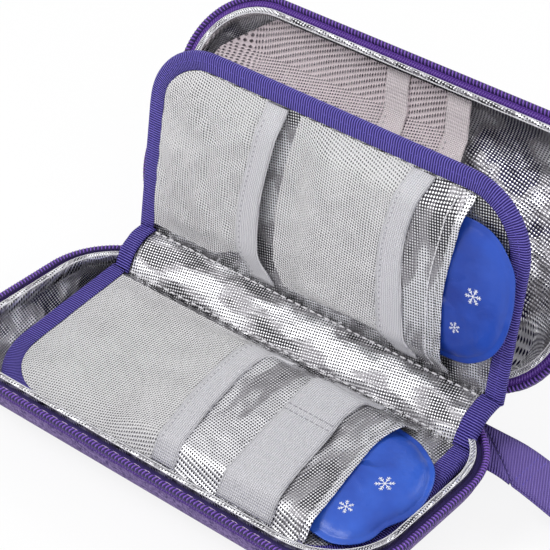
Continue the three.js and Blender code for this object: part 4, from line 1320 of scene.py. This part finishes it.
def spine_spot(x, t, lift=0.0):
    """A point at world x and distance t over the spine, from the lower to the upper fold."""
    share = t / spine_length
    edge = smooth((abs(x - leaf_middle) - bow_from) / bow_run)
    bow = (4 * spine_bow + spine_end_bow * edge) * share * (1 - share)
    crease = spine_crease * math.sin(math.pi * share) * uneven(x, t, 9, 0.05, 0.16)
    crease += spine_fine_crease * math.sin(math.pi * share) * uneven(x, t, 4, 0.16, 0.3)
    height = bow + spine_lift + max(crease, crease_floor) + lift
    return spine_place @ Vector((x - leaf_middle, t, height))


spine_foil = foil_cloth("spine_foil", 1.6, 11, (0.45, 1, 1), share=0.52, crumple=0.6)
spine_cloth = grid(
    "spine_cloth", 90, 16,
    lambda u, v: spine_spot(leaf_middle + mix(-spine_half, spine_half, u), v * spine_length),
    spine_foil, "spine", None,
    lambda u, v: (mix(-spine_half, spine_half, u), v * spine_length),
)
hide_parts("spine_strip")

spine_up = facing(lambda point: spine_place @ point)
lower_fold, upper_fold = fold_seam_inset, spine_length - fold_seam_inset
for seam_name, seam_t in (("lower_fold_stitches", lower_fold), ("upper_fold_stitches", upper_fold)):
    seam_line = []
    for i in range(121):
        x = leaf_middle + mix(-spine_half, spine_half, i / 120)
        seam_line.append(spine_spot(x, seam_t, fold_seam_lift))
    sewn = stitches(seam_name, seam_line, lambda i: spine_up, fold_dash, white_thread, "spine")


def spine_end(name, sign, replaced):
    """Grosgrain round one end of the spine, with the same section as on the leaves."""
    last = len(binding_section) - 1

    def spot(u, v):
        inset, high = binding_section[round(u * last)]
        x = leaf_middle + sign * (leaf_half - end_inset - inset)
        return spine_spot(x, mix(-end_overrun, spine_length + end_overrun, v), high - end_sink)

    end = grid(name, last, 14, spot, grosgrain, "spine", None, lambda u, v: (v * 24, u * 18))
    thicken(end, binding_thickness, 1.0)
    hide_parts(replaced)


spine_end("spine_end_left", -1, "spine_binding_left")
spine_end("spine_end_right", 1, "spine_binding_right")


# Upper leaf
# The second board stands up from the far fold and leans back. It carries two net
# pockets, two elastic bands that bow over them, and a foil pocket for its pack.

upper_fold_y = round(fold_y + spine_length * math.cos(spine_turn), 4)
upper_fold_z = round(fold_z + spine_length * math.sin(spine_turn), 4)
upper_turn = math.radians(-95)
upper_foot = Matrix.Translation((leaf_middle, upper_fold_y, upper_fold_z))
upper_place = upper_foot @ Matrix.Rotation(upper_turn, 4, "X")
upper_height, upper_radius = 87.7, 29.5
upper_at = on_leaf(upper_place, -1)
upper_out = leaf_facing(upper_at)
leaf_board("upper_board_foil", upper_height, upper_radius, upper_at, "upper_leaf", "upper_leaf_board")
leaf_binding("upper_binding", upper_height, upper_radius, upper_at, "upper_leaf", "upper_leaf_binding")

# Side lines of the upper pockets, as distance from the fold and place across.
upper_ends = (3.4, 79.5)
upper_net_ends = (4.4, 79.5)
left_band_left = through((3.4, -27.4), (14, -33.8), (32, -35.6), (52, -33.4), (79.5, -29.4))
left_band_right = through((3.4, -16.4), (14, -23.4), (37, -25.4), (55, -23.6), (79.5, -19.4))
right_band_left = through((3.4, 42.2), (12, 37), (30, 33.4), (48, 32), (64, 34), (79.5, 37.4))
right_band_right = through((3.4, 52), (17.3, 47.6), (35, 44), (52.7, 42.6), (66, 44.4), (79.5, 47.4))
upper_mouth = through((3.4, 66.4), (22.8, 63.6), (38, 61.8), (48, 62), (64, 63.6), (79.5, 65))
upper_seam, upper_far = 2.6, 80
net_seam = 3
upper_puff_run, upper_net_run = 11, 14
upper_net_bulge, middle_net_bulge = 3.4, 0.6
upper_net_flat_to = -82
upper_pack_from, upper_pack_run = -14, 18
net_cover_to, net_cover_run = 36, 6
net_band_lift = 0.6
upper_foil_side, middle_net_setback = 2.0, 5.5
under_net_sink = 1.7
mouth_seam_inset, mouth_seam_lift = 6.5, 0.45
mouth_seam_from, mouth_seam_to = 5, 79
mouth_dash = (2.2, 2.0, 0.32)


def upper_puff(x, s):
    return mix(cloth_seat, pack_rise, hump(s, upper_seam, upper_far, upper_puff_run))


def upper_net_height(x, s):
    bulge = upper_net_bulge * hump(s, net_seam, upper_far, upper_net_run)
    return cloth_seat + bulge * smooth((x - upper_net_flat_to) / net_rise_run)


def middle_net_height(x, s):
    """Low beside the left band, and over the pack on its other side."""
    low = cloth_seat + middle_net_bulge * hump(s, net_seam, upper_far, upper_net_run)
    return mix(low, upper_puff(x, s), smooth((x - upper_pack_from) / upper_pack_run))


def left_band_height(x, s):
    return upper_net_height(x, s) + net_band_lift


def right_band_height(x, s):
    return upper_puff(x, s) + band_lift


def upper_foil_height(x, s):
    """The foil lies lower where the middle net covers it."""
    clear = smooth((x - net_cover_to) / net_cover_run)
    return upper_puff(x, s) - under_net_sink + under_net_sink * clear


def middle_net_side(s):
    return left_band_right(s) + middle_net_setback


pocket_cloth("upper_net_left", upper_at, (net_side(upper_height, upper_radius), left_band_left),
             upper_net_ends, upper_net_height, leaf_net, "upper_leaf", "upper_mesh_pocket_left",
             steps=(30, 40), wrinkle=1.8,
             foot=lambda u: 7 * smooth((u - 0.55) / 0.45))
leaf_band("upper_band_left", upper_at, (left_band_left, left_band_right), upper_ends, left_band_height,
          "upper_leaf", "upper_elastic_left")
band_dots("upper_band_left_dots", upper_at, left_band_left, left_band_height, "upper_leaf")
pocket_cloth("upper_net_middle", upper_at, (middle_net_side, right_band_left), upper_ends,
             middle_net_height, leaf_net, "upper_leaf", "upper_mesh_pocket_right",
             steps=(34, 40), wrinkle=0.8,
             foot=lambda u: 2 + 5 * smooth(u / 0.8))
leaf_band("upper_band_right", upper_at, (right_band_left, right_band_right), upper_ends,
          right_band_height, "upper_leaf", "upper_elastic_right")
band_dots("upper_band_right_dots", upper_at, right_band_left, right_band_height, "upper_leaf")
pocket_cloth("upper_foil_pocket", upper_at, (lambda s: upper_foil_side, upper_mouth), upper_ends,
             upper_foil_height, pocket_foil, "upper_leaf", "upper_pack_pocket",
             steps=(44, 44), wrinkle=0.4)
mouth_hem("upper_mouth_hem", upper_at, upper_mouth, upper_ends, upper_puff, "upper_leaf")

mouth_line = []
for s in range(mouth_seam_from, mouth_seam_to):
    seam_height = upper_puff(0, s) + mouth_seam_lift
    mouth_line.append(upper_at(upper_mouth(s) - mouth_seam_inset, s, seam_height))
mouth_seam = stitches("upper_pocket_stitches", mouth_line, lambda i: upper_out, mouth_dash,
                      white_thread, "upper_leaf")


# Gel packs
# Blue film packs of gel, one in each foil pocket, with a welded flange round the edge.
# Two printed snowflakes show on each.

lower_film_light, lower_film_deep = colour(52, 98, 206), colour(32, 68, 170)
# The upper pack's film is the lower one's painted darker: painted shade on the upright leaf.
upper_film_shaded_light, upper_film_shaded_deep = colour(40, 80, 184), colour(26, 56, 150)
print_dark, print_light = colour(200, 214, 246), colour(248, 250, 255)
pack_seat, over_binding = 1.25, 1.1
binding_from, binding_run = 76, 9
full_swell, held_swell, held_run = 0.84, 0.26, 10
core_pull = 0.96
gel_fill, film_wave = 0.7, 0.35
outline_steps = 96
print_lift, above_pack, pack_top = 0.1, 20, 8.2
# From the middle of the pack's back, round its flange to the middle of its front, as
# share of the way to the middle and height.
pack_section = [
    (1.0, 0.0), (0.55, 0.05), (0.3, 0.55), (0.16, 1.6), (0.10, 2.7), (0.085, 3.1),
    (0.0, 3.2), (0.0, 3.8),
    (0.085, 3.9), (0.095, 4.3), (0.13, 5.2), (0.2, 6.3), (0.34, 7.3), (0.6, 7.75), (1.0, 7.85),
]
# One arm of a snowflake: its stem and four short barbs, as shares of the arm.
barb_roots, barb_reach = (0.42, 0.68), 0.2
bar_share = 0.021
# Outlines of the packs on their leaves, as place across and distance from the fold.
lower_pack_outline = [
    (20, 9), (40, 8.2), (60, 8.6), (73.6, 10.8), (82, 15.7), (87.5, 21), (91.6, 30),
    (93, 38.7), (91.6, 46), (88.6, 53), (87.8, 60.5), (84, 66.6), (76.5, 69.4), (66, 69),
    (52, 67), (36, 66), (20, 64.5), (12, 58), (9, 48), (9, 26), (12, 15),
]
upper_pack_outline = [
    (20, 12.4), (40, 11.6), (60, 11.2), (71.4, 12.2), (78, 15.2), (84.9, 22.4), (88.4, 31.4),
    (89.4, 41.4), (88.8, 51.5), (87.0, 58.8), (82.3, 65), (76, 69), (69, 71.2), (55, 71.4),
    (35, 71.4), (18, 70.6), (7.6, 64), (4.8, 54), (4.8, 28), (8, 17),
]


def gel_film(name, light, deep):
    """Blue film: cloudy where the gel is thin, softly dented, with a fine grain."""
    made = new_material(name)
    spot = spot_on(made)
    tone = shades(made, cloud(made, spot, 40), (0.35, deep), (0.62, light))
    soft = bump(made, cloud(made, spot, 60), 1.6)
    fine = bump(made, cloud(made, spot, 900), 0.08, below=soft)
    shade(made, Base_Color=tone, Roughness=0.34, Specular_IOR_Level=0.35, Normal=fine)
    return shade(made, Coat_Weight=0.1, Coat_Roughness=0.2)


lower_film = gel_film("lower_gel_film", lower_film_light, lower_film_deep)
# The upper film, in its painted-shade colours.
upper_shaded_film = gel_film("upper_gel_film", upper_film_shaded_light, upper_film_shaded_deep)

print_white = new_material("print_white")
print_wear = cloud(print_white, spot_on(print_white), 1200)
print_tone = shades(print_white, print_wear, (0.2, print_dark), (0.5, print_light))
shade(print_white, Base_Color=print_tone, Roughness=0.5)


def curve_point(p0, p1, p2, p3, t):
    """A point between p1 and p2, on the smooth curve that also passes p0 and p3."""
    slope = (p2 - p0) * t
    bend = (2 * p0 - 5 * p1 + 4 * p2 - p3) * t * t
    twist = (3 * p1 - p0 - 3 * p2 + p3) * t ** 3
    return 0.5 * (2 * p1 + slope + bend + twist)


def closed_line(stops, count):
    """Even points on a smooth closed curve through the stops."""
    fine = []
    size = len(stops)
    for i in range(size):
        around = [Vector(stops[(i + k) % size]) for k in (-1, 0, 1, 2)]
        for k in range(12):
            fine.append(curve_point(*around, k / 12))
    lengths = [0.0]
    for a, b in zip(fine, fine[1:] + fine[:1]):
        lengths.append(lengths[-1] + (b - a).length)
    line, k = [], 0
    for i in range(count):
        run = lengths[-1] * i / count
        while lengths[k + 1] < run:
            k += 1
        t = (run - lengths[k]) / max(lengths[k + 1] - lengths[k], 1e-9)
        line.append(fine[k].lerp(fine[(k + 1) % len(fine)], t))
    return line


def snowflake(name, x, s, size, turn_by, pack, at, body):
    """A printed six-armed ornament that lies just on the film."""
    bars = [((0.0, 0.0), (1.0, 0.0))]
    for root in barb_roots:
        for lean in (-1, 1):
            bars.append(((root, 0.0), (root + barb_reach, lean * barb_reach)))
    points, faces = [], []
    pack.data.update()
    toward = leaf_facing(at)
    half = bar_share * size
    for arm in range(6):
        spin = turn_by + arm * math.pi / 3
        cos, sin = math.cos(spin), math.sin(spin)
        for (a0, b0), (a1, b1) in bars:
            along = Vector((a1 - a0, b1 - b0)).normalized()
            across = Vector((-along.y, along.x)) * half / (size / 2)
            start = len(points)
            for t in (0, 0.33, 0.67, 1):
                for k in (-1, 1):
                    a = mix(a0, a1, t) + across.x * k
                    b = mix(b0, b1, t) + across.y * k
                    px = x + (a * cos - b * sin) * size / 2
                    ps = s + (a * sin + b * cos) * size / 2
                    high = pack.matrix_world.inverted() @ (at(px, ps, above_pack) * mm)
                    hit, where = pack.ray_cast(high, -toward)[:2]
                    points.append(where / mm + toward * print_lift if hit else at(px, ps, pack_top))
            for t in range(3):
                a = start + t * 2
                faces.append((a, a + 1, a + 3, a + 2))
    made = make_piece(name, points, faces, print_white, body)


def gel_pack(name, outline, core_ends, core_s, held_from, at, body, replaced, flakes, film):
    """A pack that swells towards its core, less where the net and bands hold it down."""
    line = closed_line(outline, outline_steps)
    rings = []
    for share, height in pack_section:
        ring = []
        for p in line:
            core = Vector((min(max(p.x, core_ends[0]), core_ends[1]), core_s))
            q = p.lerp(core, share * core_pull)
            wave = film_wave * uneven(q.x, q.y, 3, 0.1, 0.1)
            wave *= 1 if height > 2 else 0.2
            swell = full_swell - held_swell * smooth((held_from - q.x) / held_run)
            seat = pack_seat + over_binding * smooth((q.x - binding_from) / binding_run)
            ring.append((at(q.x, q.y, seat + max(height * swell + wave, 0)), (q.x, q.y)))
        rings.append(ring)
    made = skin(name, rings, film, body)
    round_off(made)
    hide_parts(replaced)
    for index, (x, s, size, turn_by) in enumerate(flakes):
        snowflake(f"{name}_snowflake_{index + 1}", x, s, size, turn_by, made, at, body)


lower_flakes = [(77.2, 37.9, 7.5, 0.4), (72.6, 54.8, 6, 0.1)]
upper_flakes = [(73.8, 43.8, 7, 0.2), (68.4, 27.8, 4.8, 0.5)]
gel_pack("lower_gel_pack", lower_pack_outline, (34, 66), 38, 10, lower_at,
         "lower_ice_pack", "lower_ice_pack", lower_flakes, lower_film)
gel_pack("upper_gel_pack", upper_pack_outline, (32, 62), 41.5, 40, upper_at,
         "upper_ice_pack", "upper_ice_pack", upper_flakes, upper_shaded_film)


# Zip slider and pull tab
# A painted die-cast slider rides the bottom coil at the left end of the hinge. Its flat
# tab hangs from the bail outside the back wall.

metal_dark, metal_light = colour(70, 48, 138), colour(88, 64, 160)
painted_metal = grained("painted_metal", 700, (0.3, metal_dark), (0.7, metal_light), 0.03,
                        Metallic=0.6, Roughness=0.35)
finish_cad_node("zip_slider", painted_metal)
finish_cad_node("zip_pull_tab", painted_metal)


# Wrist strap
# Lilac ribbed webbing, 20 wide, is folded into a loop and sewn to the rear right corner.
# It leaves level, drops to the table and lies there.

strap_lilac, strap_dark = colour(136, 118, 196), colour(84, 64, 150)
strap_left, strap_right = 37, 57
strap_far = 235.5
strap_thick, layer_height = 0.95, 0.58
strap_high, strap_low, drop_from, drop_run = 17.6, 1.5, 98, 50
strap_aside, aside_start, aside_run = 5, 100, 45
bend_share, loop_bulge = 0.011, 130
loop_opening, opening_from, opening_run = 0.9, 0.72, 0.2
layer_bow, table_gap = 0.25, 0.62
root_out, root_in, loop_start = 1.2, -5, 1.6
strap_rib_lean = 0.53
strap_seams, seam_inset, strap_seam_lift = (108, 111), 1.5, 1.15
strap_dash = (2.4, 1.6, 0.2)
root_tuck, root_sink = 0.15, 0.05
# The webbing's root line follows the shell's corner: a point on it, its slope and how
# far a step square to it goes across.
root_spot = Vector((100.274, 40.952))
root_slope = -1.2904
root_across = round(1 / math.hypot(1, root_slope), 5)

webbing_stops = ((0.0, strap_dark), (0.5, strap_lilac))
webbing = ribbed("ribbed_webbing", 1.15, 0.8, 0.15, 0.42, 0.35, *webbing_stops)


def strap_root_x(y, beyond):
    return root_spot.x + (y - root_spot.y) * root_slope + beyond / root_across


def strap_height(x):
    return mix(strap_high, strap_low, smooth((x - drop_from) / drop_run))


def strap_drift(x):
    """The strap's far end lies a little further back."""
    return strap_aside * smooth((x - aside_start) / aside_run)


def strap_line():
    """The loop from its root along the lower layer, round the bend and back on top."""
    line = [(i / 40, -layer_height) for i in range(41)]
    for i in range(1, 12):
        turn_by = -math.pi / 2 + math.pi * i / 12
        line.append((1 + bend_share * math.cos(turn_by), layer_height * math.sin(turn_by)))
    line += [(i / 40, layer_height) for i in range(40, -1, -1)]
    return line


def webbing_grid(name, columns, spot, body, thickness, replaced):
    """A piece of the webbing, whose ribs run square to the root line."""
    def flat(u, v):
        spot_at = spot(u, v)
        return (spot_at.x + strap_rib_lean * spot_at.y, v * (strap_right - strap_left))

    made = grid(name, columns, 8, spot, webbing, body, None, flat)
    thicken(made, thickness)
    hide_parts(replaced)


def strap_loop():
    line = strap_line()
    columns = len(line) - 1

    def spot(u, v):
        along, side = line[round(u * columns)]
        y = mix(strap_left, strap_right, v)
        loop_root = strap_root_x(y, loop_start)
        x = mix(loop_root, strap_far, min(along, 1)) + max(along - 1, 0) * loop_bulge
        upper = 1 if side > 0 else 0
        opened = loop_opening * smooth((along - opening_from) / opening_run) * upper
        lift = side * (1 + opened)
        bow = layer_bow * math.sin(math.pi * v) * upper
        return Vector((x, y + strap_drift(x), max(strap_height(x) + lift + bow, table_gap)))

    webbing_grid("wrist_webbing", columns, spot, "wrist_strap", strap_thick, "wrist_strap")
    for index, x in enumerate(strap_seams):
        row = []
        for i in range(13):
            y = mix(strap_left + seam_inset, strap_right - seam_inset, i / 12)
            row.append(Vector((x, y + strap_drift(x), strap_height(x) + strap_seam_lift)))
        sewn = stitches(f"strap_stitches_{index + 1}", row, lambda i: Vector((0, 0, 1)), strap_dash,
                        purple_thread, "wrist_strap")


def strap_root():
    """Both layers of the webbing, from inside the shell's corner to where the loop moves."""
    def spot(u, v):
        y = mix(strap_left + root_tuck, strap_right - root_tuck, v)
        x = strap_root_x(y, mix(root_in, root_out, u))
        return Vector((x, y, strap_height(x) - root_sink))

    webbing_grid("strap_root_webbing", 8, spot, "bottom_shell", 2 * strap_thick, "wrist_strap_root")


strap_loop()
strap_root()
